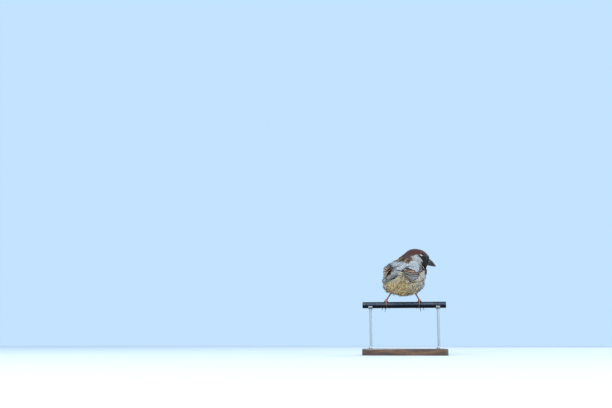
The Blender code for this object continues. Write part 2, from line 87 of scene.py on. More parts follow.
def hill(points, middle, reach):  # 1 at the middle, soft to nothing
    return np.exp(-(np.linalg.norm(points - middle, axis=1) / reach) ** 2)


def hexColour(text):  # sRGB hex to linear
    parts = np.array([int(text[i:i + 2], 16) / 255 for i in (1, 3, 5)])
    return np.where(parts <= 0.04045, parts / 12.92, ((parts + 0.055) / 1.055) ** 2.4)


def paint(text):
    return (*hexColour(text), 1.0)


def feed(tree, node, inputs):  # each input takes a value, a socket or the first outlet of a node
    for key, value in inputs.items():
        if isinstance(value, bpy.types.Node):
            value = next(outlet for outlet in value.outputs if outlet.enabled)
        if isinstance(value, bpy.types.NodeSocket):
            tree.links.new(value, node.inputs[key])
        else:
            node.inputs[key].default_value = value


def addNode(tree, kind, inputs=(), stops=(), **settings):  # a shader node's kind leaves out its ShaderNode
    node = tree.nodes.new(kind if "Node" in kind else "ShaderNode" + kind)
    for name, value in settings.items():
        setattr(node, name, value)
    feed(tree, node, inputs if isinstance(inputs, dict) else dict(enumerate(inputs)))
    if stops:  # of a colour ramp
        row = node.color_ramp.elements
        for end, (position, colour) in zip(row, (stops[0], stops[-1])):
            end.position = position
            end.color = paint(colour)
        for position, colour in stops[1:-1]:
            row.new(position).color = paint(colour)
    return node


def newMaterial(name):
    made = bpy.data.materials.new(name)
    made.use_nodes = True
    return made, partial(addNode, made.node_tree)


def settle(made, values, relief=None):  # the shader's inputs; relief is height, strength and depth in metres
    tree = made.node_tree
    if relief:
        height, strength, depth = relief
        values["Normal"] = addNode(tree, "Bump", {"Height": height, "Strength": strength, "Distance": depth})
    feed(tree, tree.nodes["Principled BSDF"], values)
    return made


def mottle(add, where, scale, detail, dark, light):  # a fine noise, and two colours mixed by it
    grain = add("TexNoise", {"Vector": where, "Scale": scale, "Detail": detail})
    return grain, add("Mix", {"Factor": grain, "A": paint(dark), "B": paint(light)}, data_type="RGBA")


def newTree(name, inputs):  # a Geometry Nodes tree with its named inputs
    tree = bpy.data.node_groups.new(name, "GeometryNodeTree")
    for title, kind in inputs.items():
        tree.interface.new_socket(title, in_out="INPUT", socket_type="NodeSocket" + kind)
    tree.interface.new_socket("Grown", in_out="OUTPUT", socket_type="NodeSocketGeometry")
    return tree, partial(addNode, tree), addNode(tree, "NodeGroupInput").outputs


def newObject(name, mesh, finish=None):
    piece = bpy.data.objects.new(name, mesh)
    bpy.context.scene.collection.objects.link(piece)
    if finish is not None:
        mesh.materials.clear()
        mesh.materials.append(finish)
    return piece


def place(piece, slotName, *nodes):  # rides with the root and hides the CAD nodes it stands for; slotName is not used
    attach(piece, "root")
    if nodes:
        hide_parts(*nodes)


def evaluated(piece):  # the object with its modifiers, as a plain mesh
    bpy.context.view_layer.update()
    graph = bpy.context.evaluated_depsgraph_get()
    made = bpy.data.meshes.new_from_object(piece.evaluated_get(graph))
    piece.modifiers.clear()
    return made


def grown(name, mesh, tree, inputs):  # what a Geometry Nodes tree makes of a mesh
    worker = newObject("worker", mesh)
    modifier = worker.modifiers.new("tree", "NODES")
    modifier.node_group = tree
    for socket in tree.interface.items_tree:
        if socket.in_out == "INPUT" and socket.name in inputs:
            modifier[socket.identifier] = inputs[socket.name]
    made = evaluated(worker)
    bpy.data.objects.remove(worker)
    made.name = name
    return made


def meshFrom(name, points, faces):
    mesh = bpy.data.meshes.new(name)
    mesh.from_pydata((np.asarray(points) * mm).tolist(), [], faces)
    mesh.shade_smooth()
    return mesh


def putOut(mesh, merge=True):  # faces outwards
    work = bmesh.new()
    work.from_mesh(mesh)
    if merge:
        bmesh.ops.remove_doubles(work, verts=work.verts, dist=1e-7)
    bmesh.ops.recalc_face_normals(work, faces=work.faces)
    work.to_mesh(mesh)
    work.free()
    return mesh


def joinMeshes(name, meshes):
    work = bmesh.new()
    for mesh in meshes:
        work.from_mesh(mesh)
        bpy.data.meshes.remove(mesh)
    joined = bpy.data.meshes.new(name)
    work.to_mesh(joined)
    work.free()
    return joined


def setAttribute(mesh, name, values, domain="POINT"):  # a number, vector or colour for each point or corner
    values = np.asarray(values, np.float32)
    kind, key = "FLOAT", "value"
    if name.endswith("Colour"):
        kind, key = "FLOAT_COLOR", "color"
        values = np.concatenate([values, np.ones((len(values), 1), np.float32)], 1)
    elif values.ndim == 2:
        kind, key = "FLOAT_VECTOR", "vector"
    mesh.attributes.new(name, kind, domain).data.foreach_set(key, values.ravel())


def cornersOf(mesh):  # the point of each face corner
    found = np.empty(len(mesh.loops), int)
    mesh.loops.foreach_get("vertex_index", found)
    return found


def setUv(mesh, name, values):  # given for each corner
    layer = mesh.uv_layers.new(name=name)
    layer.data.foreach_set("uv", np.asarray(values).astype(np.float32).ravel())


def turnsOf(count):  # evenly round a circle
    return 2 * np.pi * np.arange(count) / count


def tubeRings(path, radii, count, up=(1.0, 0.0, 0.0)):
    path = np.array(path, float)
    along = unit(np.gradient(path, axis=0))
    one = unit(np.cross(along, up))
    two = np.cross(along, one)
    turn = turnsOf(count)
    around = np.cos(turn)[None, :, None] * one[:, None] + np.sin(turn)[None, :, None] * two[:, None]
    return path[:, None] + np.asarray(radii, float).reshape(-1, 1, 1) * around


def loftMesh(name, rings, start=None, end=None, wrap=False):
    rings = np.asarray(rings)  # of points, closed at the ends by a tip or a cap, or round on itself
    rows, count = rings.shape[:2]
    points = rings.reshape(-1, 3).tolist()
    faces = []
    for i in range(rows if wrap else rows - 1):
        a, b = i * count, (i + 1) % rows * count
        faces += [(a + j, a + (j + 1) % count, b + (j + 1) % count, b + j) for j in range(count)]
    caps = () if wrap else ((start, 0), (end, (rows - 1) * count))
    for tip, first in caps:
        ring = list(range(first, first + count))
        if tip is None:
            faces.append(ring)
        else:
            points.append(list(tip))
            faces += [(ring[j], ring[(j + 1) % count], len(points) - 1) for j in range(count)]
    return putOut(meshFrom(name, points, faces))


def sheetFaces(rows, columns, start):  # a closed sheet: grid above, grid below, and the rim between them
    count = rows * columns
    faces = []
    for i in range(rows - 1):
        for j in range(columns - 1):
            a = start + i * columns + j
            quad = (a, a + 1, a + columns + 1, a + columns)
            faces += [quad, tuple(k + count for k in quad[::-1])]
    rim = [(0, j) for j in range(columns)] + [(i, columns - 1) for i in range(1, rows)]
    rim += [(rows - 1, j) for j in range(columns - 2, -1, -1)] + [(i, 0) for i in range(rows - 2, 0, -1)]
    rim = [start + i * columns + j for i, j in rim]
    return faces + [(a, a + count, b + count, b) for a, b in zip(rim, rim[1:] + rim[:1])]


# The bird's own axes

bodyF, bodyR, bodyU = axesOf(stance["bodyYaw"], stance["bodyPitch"])
headF, headR, headU = axesOf(stance["headYaw"], stance["headPitch"])
billF, billR, billU = axesOf(stance["headYaw"], stance["billPitch"])
bodyMiddle, headMiddle = np.array(stance["bodyMiddle"]), np.array(stance["headMiddle"])
tailRoot = bodyMiddle - stance["tailRootBack"] * bodyF + stance["tailRootUp"] * bodyU
tailF = unit(np.array(stance["tailTip"]) - tailRoot)
tailLevel = unit(np.cross(-tailF, (0.0, 0.0, 1.0)))
roll = math.radians(stance["tailRoll"])
tailR = math.cos(roll) * tailLevel - math.sin(roll) * np.cross(tailLevel, -tailF)
tailU = np.cross(tailR, -tailF)
neckAway = unit(stance["neckCut"])


def inBody(forward, right, up):
    return bodyMiddle + forward * bodyF + right * bodyR + up * bodyU


def inHead(forward, right, up):
    return headMiddle + forward * headF + right * headR + up * headU


def bodyPlace(p):  # the way back: forward, right and up
    q = p - bodyMiddle
    return q @ bodyF, q @ bodyR, q @ bodyU


def headPlace(p):
    q = p - headMiddle
    return q @ headF, q @ headR, q @ headU


def nodePoints(name):
    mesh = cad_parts[name].data
    found = np.empty(len(mesh.vertices) * 3)
    mesh.vertices.foreach_get("co", found)
    return found.reshape(-1, 3) / mm


def nodeMiddle(name):
    low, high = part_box(name)
    return (np.array(low) + np.array(high)) / 2 / mm


def treeOf(*meshes):  # for rays and nearest points, in millimetres
    points, faces = [], []
    for mesh in meshes:
        start = len(points)
        points += [v.co / mm for v in mesh.vertices]
        faces += [[start + k for k in face.vertices] for face in mesh.polygons]
    return BVHTree.FromPolygons(points, faces)


def nodeTree(*names):
    return treeOf(*(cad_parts[name].data for name in names))


# Markings: one function of place that skin and feathers share

plumage = {
    "chestnut": "#59291e", "chestnutDark": "#371a13", "crownGrey": "#4c5055", "black": "#14120f",
    "blackEdge": "#453f39", "cheek": "#b0aca6", "white": "#f2efe8", "collar": "#b3a89b",
    "mantle": "#b08a64", "mantleCore": "#241a15", "rump": "#bbbec1", "rumpCore": "#8e949b",
    "tailCover": "#a09a92", "breast": "#cfcbc6", "flank": "#bfb2a2", "belly": "#dcc39a",
    "vent": "#d9b87c", "bellyCore": "#a8895a", "thigh": "#a58b70",
}
tones = {name: hexColour(text) for name, text in plumage.items()}
shankTops = [max(nodePoints(f"shank_{side}"), key=lambda p: p[2]) for side in sides]
flankTuft = inBody(-17, -18.5, -4)  # pale loose plumes stand out here


def wobble(p, size, seed):  # soft noise of about 1 either way
    shift = Vector((seed * 7.3, seed * 3.1, seed * 1.7))
    return np.array([noise.noise(Vector(q) / size + shift) for q in p])


bibPlan = {
    "route": [inHead(13.0, 0, -8.0), inHead(9.0, 0, -14.0), inBody(36.0, 17.0, 14.0), inBody(38.0, 9.0, 6.0),
              inBody(38.0, 4.0, -2.0)],
    "width": [3.4, 5.0, 6.6, 7.4, 6.4],
    "wing": [inBody(27.0, 20.5, 12.0), inBody(24.0, 21.5, 10.0), inBody(24.0, 22.0, 7.0),
             inBody(22.5, 23.0, 4.0)],  # black carried onto the right side, by the wing's bend
    "wingWidth": [5.0, 4.6, 4.2, 3.4],
}


def bibOnThroat(plan):  # the route of the bib, brought down onto head, neck and trunk
    tree = nodeTree("head", "neck", "trunk")
    stops, fine = np.linspace(0, 1, len(plan["route"])), np.linspace(0, 1, 25)
    route = np.stack([np.interp(fine, stops, np.array(plan["route"])[:, k]) for k in range(3)], 1)
    route = [tree.find_nearest(Vector(q))[0] for q in route]
    reach = np.interp(fine, stops, plan["width"])
    return np.concatenate([route, plan["wing"]]), np.concatenate([reach, plan["wingWidth"]])


bibLine, bibReach = bibOnThroat(bibPlan)


def headShare(p):  # 1 on the head, 0 on the body
    return ease((p - headMiddle) @ neckAway, -15.0, -6.5)


def markings(p):  # edge colour, core colour and core width of the feather rooted at p
    bx, by, bz = bodyPlace(p)
    hx, hy, hz = headPlace(p)
    side = np.abs(hy)
    ripple, broad = wobble(p, 3.0, 1), wobble(p, 9.0, 2)

    # underparts first, from breast to vent
    low = ease(-bz + 8.0 * ease(-bx, 24, 36), -3.0, 12.0)
    edge = blend(tones["breast"], tones["belly"], low * ease(14 - bx, 0, 16))
    edge = blend(edge, tones["flank"], ease(np.abs(by), 12, 20) * (1 - ease(-bz, 8, 16)) * 0.75)
    edge = blend(edge, tones["vent"], np.clip(ease(-bx, 5, 20) * low * (0.65 + 0.5 * broad), 0, 1))
    # soft patches over the underparts: painted shade between clumps of feathers, and a little painted light
    # on them
    clumpShade = wobble(p * np.array([0.6, 1.0, 1.5]), 3.6, 8)
    edge = edge * (1 + 0.42 * low * np.clip(clumpShade, -1, 0.35))[:, None]
    edge = blend(edge, tones["white"], 0.8 * hill(p, flankTuft, 5))
    core = blend(edge * 0.72, tones["bellyCore"], 0.5 * low)
    width = 0.16 + 0.05 * ripple

    def lay(share, edgeTone, coreTone):  # the next marking over the ones before
        nonlocal edge, core
        edge = blend(edge, edgeTone, share)
        core = blend(core, coreTone, share)

    # rump and lower back
    near = ease(by, 2, 6)
    top = ease(bz + 0.16 * np.abs(by) - 4.0 * near * ease(-bx, 20, 34), 1.5, 7.5)
    turned = np.degrees(np.arctan2(np.abs(by), bz + 2.0))  # from the middle of the back
    seam = bx + 8.0 + 2.6 * broad + 0.10 * np.abs(by) - 13.0 * near * ease(turned, 38, 47)
    rump = top * (1 - ease(seam, -4, 3))
    lay(rump, tones["rump"], tones["rumpCore"])
    width = width + (0.22 - width) * rump
    lay(ease(-bx, 30, 42) * ease(bz, 1, 6), tones["tailCover"], tones["rumpCore"] * 0.6)
    # mantle, streaked black on buff and chestnut
    mantle = top * ease(seam, -4, 3) * (1 - ease(turned + 4 * broad, 52 - 0.6 * np.maximum(bx - 12, 0), 66))
    ruff = np.interp(turned, (18, 25, 33, 42, 50, 61, 70), (18, 12, 9, 6, 9, 21, 30))
    ruff = near * ease(bx - ruff + ripple, -1.5, 1.5) * ease(turned, 20, 28) * (1 - ease(turned, 62, 72))
    mantle = mantle * (1 - ruff)
    warm = blend(tones["mantle"], tones["chestnut"], np.clip(0.3 + 0.8 * wobble(p, 4.5, 3), 0, 0.85))
    streak = (np.sin(turned * 2 * np.pi / 13.0 + 1.2 * ripple) > -0.15).astype(float)
    lay(mantle, warm, blend(tones["mantle"] * 0.8, tones["mantleCore"], streak))
    width = width + (0.3 + 0.34 * streak - width) * mantle
    # neck, cheek, and the chestnut behind the eye
    head = headShare(p)
    neckShare = ease((p - headMiddle) @ neckAway, -21, -13)
    collar = neckShare * (1 - 0.75 * mantle)
    lay(collar * 0.8, tones["collar"], tones["collar"] * 0.8)
    width = width * (1 - 0.5 * collar)
    lay(np.maximum(head * ease(7.5 - hx, -1, 2), 0.92 * ruff), tones["cheek"], tones["cheek"] * 0.86)
    line = np.interp(hx, (-15, -12.5, -8.8, -6, -1, 4, 12), (-20, -3.0, -0.8, 0.9, 2.7, 3.2, 4.8))
    line = line + 0.4 * ripple
    behind = ease(hz - line, -0.5, 0.7) * np.maximum(head, ease(-hx, 2, 8) * neckShare)
    behind = behind * ease(12 - hx, 0, 3)
    lay(behind, tones["chestnut"], blend(tones["chestnut"], tones["chestnutDark"], 0.55))
    # grey cap and forehead
    cap = ease(5.2 + 0.15 * hx - side + ripple, -0.6, 1.2) * ease(hz, 4.5, 7.0) * ease(hx + 5, -2, 5)
    lay(cap * head, tones["crownGrey"], tones["crownGrey"] * 0.55)
    width = np.where(behind + cap > 0.4, 0.3, width)
    fore = head * ease(hx, 6.5, 9.0) * ease(hz, 1, 3)
    lay(fore * (1 - behind), tones["crownGrey"] * 0.7, tones["crownGrey"] * 0.4)
    # black: lores, eye ring, eye stripe, gape and bib
    back = np.interp(hz, (-10, -8.5, -4.6, -2, 0.6, 1.4), (7.1, 6.8, 5.1, 1.3, -2.2, -3.0))
    lores = ease(hx - back, -0.5, 0.5) * ease(5.3 - 0.14 * hx - hz, -0.4, 0.6)
    lores = lores * ease(3.2 + 3 * (hx > 1.5) - hz, 0, 1)
    ring = ease(3.9 - np.linalg.norm(np.stack([hx - 3.9, side - 9.6, hz - 1.9], 1), axis=1), -0.3, 0.5)
    stripe = ease(0.8 - np.abs(hz - 0.9 - 0.2 * hx), -0.4, 0.5) * ease(hx + 5, 0, 3) * ease(8 - hx, 0, 3)
    gape = ease(hx - 7.2 - 0.25 * np.maximum(hz + 4, 0), -0.8, 1.2) * ease(4.8 - hz, -0.5, 1.0)
    dark = head * np.clip(lores + ring + stripe + gape, 0, 1) * ease(side, 1.0, 3.0)
    inBib = (np.linalg.norm(p[:, None] - bibLine[None], axis=2) / bibReach).min(1)  # below 1 inside
    bib = ease(1.0 - inBib + 0.12 * ripple, -0.06, 0.1) * (1 - behind)
    dark = np.maximum(dark, bib)
    lay(dark, tones["black"], tones["black"] * 0.7)
    edge = blend(edge, tones["blackEdge"], bib * ease((headMiddle - p) @ neckAway, 12, 24) * 0.8)
    width = np.where(dark > 0.5, 0.6, width)
    # thighs, and the white spot behind the eye
    lay(0.8 - 0.8 * ease(farFrom(p, shankTops), 2.5, 7.0), tones["thigh"], tones["thigh"] * 0.55)
    spot = np.stack([(hx - 0.4) * 0.55, (side - 10.4) * 0.5, (hz - 2.3) * 1.2], 1)
    lay(ease(1.0 - np.linalg.norm(spot, axis=1), -0.15, 0.2), tones["white"], tones["white"])
    shade = (1 + 0.09 * broad + 0.07 * ripple)[:, None]
    return edge * shade, core * shade, np.clip(width, 0.04, 0.9)


# The skin: one closed form inside head, neck, trunk and thighs

skinPlan = {
    "nodes": ("head", "neck", "trunk", "thigh_left", "thigh_right"),
    "grow": 0.3,  # closes the cuts between the solids
    "voxel": 0.85,
    "bodyDepth": 1.6, "headDepth": 0.95, "faceDepth": 0.45, "thighDepth": 1.1,  # of the skin under the solids
    "relaxPasses": 8,
    "eyeRadius": 3.0,
    "rises": (  # middle, reach and height of soft hills and hollows
        (inHead(-17, 0, 5), 6.0, -0.55), (inHead(-24, 5, -5), 6.0, 1.9), (inBody(29, 20, 10), 7.0, 2.2),
        (inBody(0, 23, -12), 8.0, -1.5), (inBody(-22, -19, -9), 7.0, -1.2)),
}
eyeAt = {side: nodeMiddle(f"eye_{side}") for side in sides}
eyeMiddles = list(eyeAt.values())


def relaxed(values, edges, passes, share=0.5):
    near = np.bincount(edges.ravel(), minlength=len(values)).astype(float)
    for _ in range(passes):
        total = np.zeros_like(values)
        for k in range(values.shape[1]):
            total[:, k] = np.bincount(edges[:, 0], values[edges[:, 1], k], len(values))
            total[:, k] += np.bincount(edges[:, 1], values[edges[:, 0], k], len(values))
        values = values + share * (total / near[:, None] - values)
    return values


def arrays(mesh):
    points = np.empty(len(mesh.vertices) * 3)
    mesh.vertices.foreach_get("co", points)
    normals = np.empty(len(mesh.vertices) * 3)
    mesh.vertex_normals.foreach_get("vector", normals)
    edges = np.empty(len(mesh.edges) * 2, int)
    mesh.edges.foreach_get("vertices", edges)
    return points.reshape(-1, 3) / mm, normals.reshape(-1, 3), edges.reshape(-1, 2)


def makeSkin(plan):
    joined = bmesh.new()
    for name in plan["nodes"]:
        part = bmesh.new()
        part.from_mesh(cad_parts[name].data)
        bmesh.ops.remove_doubles(part, verts=part.verts, dist=1e-6)
        part.normal_update()
        for v in part.verts:
            v.co += v.normal * plan["grow"] * mm
        swollen = bpy.data.meshes.new("swollen")
        part.to_mesh(swollen)
        part.free()
        joined.from_mesh(swollen)
        bpy.data.meshes.remove(swollen)
    for side, sign in sides.items():  # fills the sockets
        middle = eyeAt[side] - 0.9 * sign * headR
        bmesh.ops.create_icosphere(joined, subdivisions=3, radius=(plan["eyeRadius"] + 0.3) * mm,
                                   matrix=Matrix.Translation(Vector(middle * mm)))
    mesh = bpy.data.meshes.new("skin")
    joined.to_mesh(mesh)
    joined.free()
    piece = newObject("skin", mesh)
    remesh = piece.modifiers.new("remesh", "REMESH")
    remesh.mode = "VOXEL"
    remesh.voxel_size = plan["voxel"] * mm
    made = evaluated(piece)
    piece.data = made
    points, normals, edges = arrays(made)
    made.vertices.foreach_set("co", (relaxed(points, edges, plan["relaxPasses"]) * mm).ravel())
    made.update()
    points, normals, edges = arrays(made)
    depth = np.full(len(points), plan["bodyDepth"])
    face = np.linalg.norm(points - inHead(13, 0, -2), axis=1)
    for kind, share in (("headDepth", headShare(points)), ("faceDepth", 1 - ease(face, 5, 15)),
                        ("faceDepth", 1 - ease(farFrom(points, eyeMiddles), 3.5, 6.5)),
                        ("thighDepth", 1 - ease(farFrom(points, shankTops), 3, 7))):
        depth += (plan[kind] - depth) * share
    for middle, reach, rise in plan["rises"]:
        depth -= rise * hill(points, middle, reach)
    depth = relaxed(depth[:, None], edges, 6)
    points = relaxed(points - normals * depth, edges, 3)
    made.vertices.foreach_set("co", (points * mm).ravel())
    made.update()
    made.shade_smooth()
    return piece


skin = makeSkin(skinPlan)
skinMesh = skin.data
skinPoints, skinNormals, skinEdges = arrays(skinMesh)
print("skin:", len(skinPoints), "points")


# How the feathers lie, and how large and how many they are at each point of the skin

def wingNodes(side):
    return [f"wing_{side}_{panel}" for panel in ("coverts", "secondaries", "primaries")]


def lieOfFeathers(points, normals, edges):
    bx, by, _ = bodyPlace(points)
    down = 0.45 * ease(bx, -10, 25) + 0.25
    overBody = -bodyF - down[:, None] * bodyU * (1 + ease(np.abs(by), 5, 20))[:, None]
    overBody = blend(overBody, unit(tailRoot + 25 * tailF - points), ease(-bx, 18, 34))
    overHead = unit(points - inHead(14.0, 0, -1.5))  # away from the bill
    flow = blend(overBody, overHead * 1.2, headShare(points))
    for side, top in zip(sides, shankTops):
        downShank = unit(min(nodePoints(f"shank_{side}"), key=lambda p: p[2]) - top)
        flow = blend(flow, downShank, 1 - ease(np.linalg.norm(points - top, axis=1), 3, 9))
    for _ in range(6):
        flow = flow - np.sum(flow * normals, 1, keepdims=True) * normals
        flow = relaxed(unit(flow), edges, 4)
    return unit(flow - np.sum(flow * normals, 1, keepdims=True) * normals)


def wingAxis(x):  # the inner line that each wing is measured round
    x = np.asarray(x, float)[..., None]
    ahead = bodyMiddle + np.maximum(x, -stance["tailRootBack"]) * bodyF
    behind = tailRoot + (-stance["tailRootBack"] - x) * tailF
    share = np.where(x < -20, ease(-x, 20.0, 41.0), 0.0)
    return ahead * (1 - share) + behind * share


def wingTurn(points, side):  # degrees from the back, round the wing's inner line
    out = points - wingAxis(bodyPlace(points)[0])
    return np.degrees(np.arctan2(sides[side] * (out @ bodyR), out @ bodyU))


def underWings(points, normals, edges):  # 1 where a wing lies close over the skin
    plates = nodeTree(*wingNodes("left"), *wingNodes("right"))
    rays = [plates.ray_cast(Vector(p), Vector(n), 5.0)[0] for p, n in zip(points, normals)]
    hidden = np.array([0.0 if hit is None else 1.0 for hit in rays])
    return relaxed(hidden[:, None], edges, 24)[:, 0]


def coverOfSkin(points):  # how much of each patch of the coat grows at each point, and how large
    covered = underWings(points, skinNormals, skinEdges)
    bx, by, bz = bodyPlace(points)
    onHead = headShare(points)
    fromBill = np.linalg.norm(points - inHead(12.0, 0, -2.0), axis=1)
    fromEyes = farFrom(points, eyeMiddles)
    neckward = (points - headMiddle) @ neckAway
    billAhead = (points - headMiddle) @ billF
    billAside = np.linalg.norm(points - headMiddle - billAhead[:, None] * billF, axis=1)
    bare = 1 - ease(covered, 0.80, 0.99)  # none deep under a wing, on the eyes, in the bill or far back
    bare = bare * ease(fromEyes, skinPlan["eyeRadius"] + 0.25, skinPlan["eyeRadius"] + 0.6)
    bare = bare * (1 - ease(billAhead, 11.0, 11.9) * (1 - ease(billAside, 5.0, 6.5)))
    bare = bare * (1 - ease((points - tailRoot) @ tailF, 13.0, 18.0))
    turn = wingTurn(points, "left")
    underTertials = ease(turn, 8, 14) * (1 - ease(turn, 60, 70)) * ease(-bx, 5, 8) * (1 - ease(-bx, 36, 40))
    fromFace = np.minimum(fromBill, fromEyes + 5.5)
    back = ease(bz + 0.16 * np.abs(by), 0.0, 6.0)
    notNeck = 1 - ease(neckward, -22, -14)
    leg = 1 - ease(farFrom(points, shankTops), 5.0, 8.0)
    rump = back * (1 - ease(bx, 4, 10)) * notNeck * bare * (1 - underTertials)
    size = 0.62 + 0.38 * ease(np.minimum(fromBill, fromEyes + 4), 4, 16)  # smallest by the bill
    size = size * (1 - 0.35 * ease(-bx, 34, 50))
    return {
        "faceCover": onHead * (1 - ease(fromFace, 9.5, 12.5)) * bare,
        "crownCover": onHead * ease(fromFace, 8.5, 11.5) * bare,
        "neckCover": ease(neckward, -26, -17) * (1 - ease(neckward, -9, -5)) * bare,
        "mantleCover": back * ease(bx, 2, 8) * notNeck * bare,
        "rumpCover": rump,
        "flankCover": hill(points, flankTuft, 4.0),
        "breastCover": (1 - back) * ease(bx, 4, 12) * notNeck * (1 - leg) * bare,
        "bellyCover": (1 - back) * (1 - ease(bx, 6, 14)) * notNeck * (1 - leg) * bare,
        "legCover": leg * bare,
        "featherSize": np.where(onHead > 0.5, size, np.maximum(size, 0.7)),
    }


def setCoatOn(mesh, flow, edge, core, width, others):  # what the coat reads at each point
    count = len(mesh.vertices)
    for name, values in {"flow": flow, "edgeColour": edge, "coreColour": core, "coreWidth": width,
                         "tipFrom": np.full(count, 0.62), "sideEdge": np.ones(count), **others}.items():
        setAttribute(mesh, name, values)


setCoatOn(skinMesh, lieOfFeathers(skinPoints, skinNormals, skinEdges), *markings(skinPoints),
          coverOfSkin(skinPoints))


def unwrapSkin(piece):  # the skin's own unwrap, where each feather finds the place of its root
    bpy.context.view_layer.objects.active = piece
    for other in bpy.context.selected_objects:
        other.select_set(False)
    piece.select_set(True)
    bpy.ops.object.mode_set(mode="EDIT")
    bpy.ops.mesh.select_all(action="SELECT")
    bpy.ops.uv.smart_project(angle_limit=math.radians(60), island_margin=0.004)
    bpy.ops.object.mode_set(mode="OBJECT")
    layer = piece.data.uv_layers[0]
    layer.name = "OFBake"
    found = np.empty(len(piece.data.loops) * 2)
    layer.data.foreach_get("uv", found)
    return found.reshape(-1, 2)


skinUvs = unwrapSkin(skin)
setAttribute(skinMesh, "rootUv", np.pad(skinUvs, ((0, 0), (0, 1))), "CORNER")
skinTree = treeOf(skinMesh)
print("lie of the feathers set")


def skinPlaceOf(point):  # where a feather's root comes on the unwrap
    found = skinTree.find_nearest(Vector(point))
    return skinUvs[skinMesh.polygons[found[2]].loop_start]


# Finishes of the plumage

def featherFinish(name, barbs, sweep, lines, roughness):
    # Keratin vane: fine barbs slant from the shaft to the edge and give a soft, silky, faintly lined face.
    # Real barbs stand 0.25 mm apart; they are drawn about 0.8 mm apart, so that they show
    made, add = newMaterial(name)
    edge, core = (add("Attribute", attribute_name=key) for key in ("edgeColour", "coreColour"))
    width, tint, tipFrom, sideEdge = (add("Attribute", attribute_name=key).outputs["Fac"]
                                      for key in ("coreWidth", "tint", "tipFrom", "sideEdge"))
    vane = add("UVMap", uv_map="vane")
    split = add("SeparateXYZ", [vane])
    along = split.outputs["Y"]
    across = add("Math", [split, 0.5], operation="SUBTRACT")
    across = add("Math", [across], operation="ABSOLUTE")
    across = add("Math", [across, 2.0], operation="MULTIPLY")
    # the core's colour gives way to the edge's near the rim and the tip
    tip = add("MapRange", {"Value": along, "From Min": tipFrom, "From Max": 1.0})
    tip = add("Math", [tip, 1.4], operation="POWER")
    aside = add("Math", [across, sideEdge], operation="MULTIPLY")
    out = add("Math", [aside, tip], operation="MAXIMUM")
    grain = add("TexNoise", {"Vector": vane, "Scale": 9.0, "Detail": 2.0})
    rough = add("Math", [grain, 0.24, out], operation="MULTIPLY_ADD")
    inside = add("Math", [width, rough], operation="SUBTRACT")
    inside = add("MapRange", {"Value": inside, "From Min": -0.2, "From Max": 0.02})
    colour = add("Mix", {"Factor": inside, "A": edge, "B": core}, data_type="RGBA")
    # fine lines of the barbs, the darker shaft and the shaded base
    slant = add("Math", [across, -sweep, along], operation="MULTIPLY_ADD")
    wave = add("Math", [slant, barbs * 2 * math.pi], operation="MULTIPLY")
    wave = add("Math", [wave], operation="SINE")
    shade = add("Math", [wave, lines, tint], operation="MULTIPLY_ADD")
    for value, low, high, darkest in ((across, 0.03, 0.07, 0.82), (along, 0.0, 0.4, 0.55)):
        part = add("MapRange", {"Value": value, "From Min": low, "From Max": high, "To Min": darkest})
        shade = add("Math", [shade, part], operation="MULTIPLY")
    final = add("VectorMath", {0: colour, "Scale": shade}, operation="SCALE")
    return settle(made, {"Base Color": final, "Roughness": roughness, "Specular IOR Level": 0.3,
                         "Sheen Weight": 0.12, "Sheen Roughness": 0.45}, (wave, 0.25, 0.00005))


coatFinish = featherFinish("contour feather vane", 13, 0.28, 0.07, 0.72)
flightFinish = featherFinish("flight feather vane", 46, 0.16, 0.09, 0.55)
plumeFinish = featherFinish("soft plume barbs", 3, 0.0, 0.03, 0.8)


def skinFinish():
    # The down and feather bases close to the skin: the plumage's own colour, darker and without gloss
    made, add = newMaterial("down close to the skin")
    edge = add("Attribute", attribute_name="edgeColour")
    where = add("TexCoord").outputs["Object"]
    grain = add("TexNoise", {"Vector": where, "Scale": 1500.0, "Detail": 3.0})  # 0.7 mm
    shade = add("MapRange", {"Value": grain, "To Min": 0.45, "To Max": 0.85})
    final = add("VectorMath", {0: edge, "Scale": shade}, operation="SCALE")
    return settle(made, {"Base Color": final, "Roughness": 0.9, "Specular IOR Level": 0.2},
                  (grain, 0.6, 0.0002))


downFinish = skinFinish()
skinMesh.materials.clear()
skinMesh.materials.append(downFinish)
place(skin, "trunk", *skinPlan["nodes"])


# Feather shapes of unit length, root at the origin, +Y to the tip and +Z away from the body

def rimHalf(t, fullAt, sharp):  # half width, 0 to 1, along the vane
    rise = np.sqrt(np.clip(1 - (1 - np.minimum(t / fullAt, 1)) ** 2, 0, 1))
    fall = np.clip(1 - (np.maximum(t - fullAt, 0) / (1 - fullAt)) ** sharp, 0, 1) ** 0.62
    return rise * fall


def shapeObject(name, points, faces, vanePlaces):
    mesh = bpy.data.meshes.new(name)
    mesh.from_pydata(points, [], faces)
    mesh.shade_smooth()
    putOut(mesh, merge=False)
    setUv(mesh, "vane", np.array(vanePlaces)[cornersOf(mesh)])
    return bpy.data.objects.new(name, mesh)


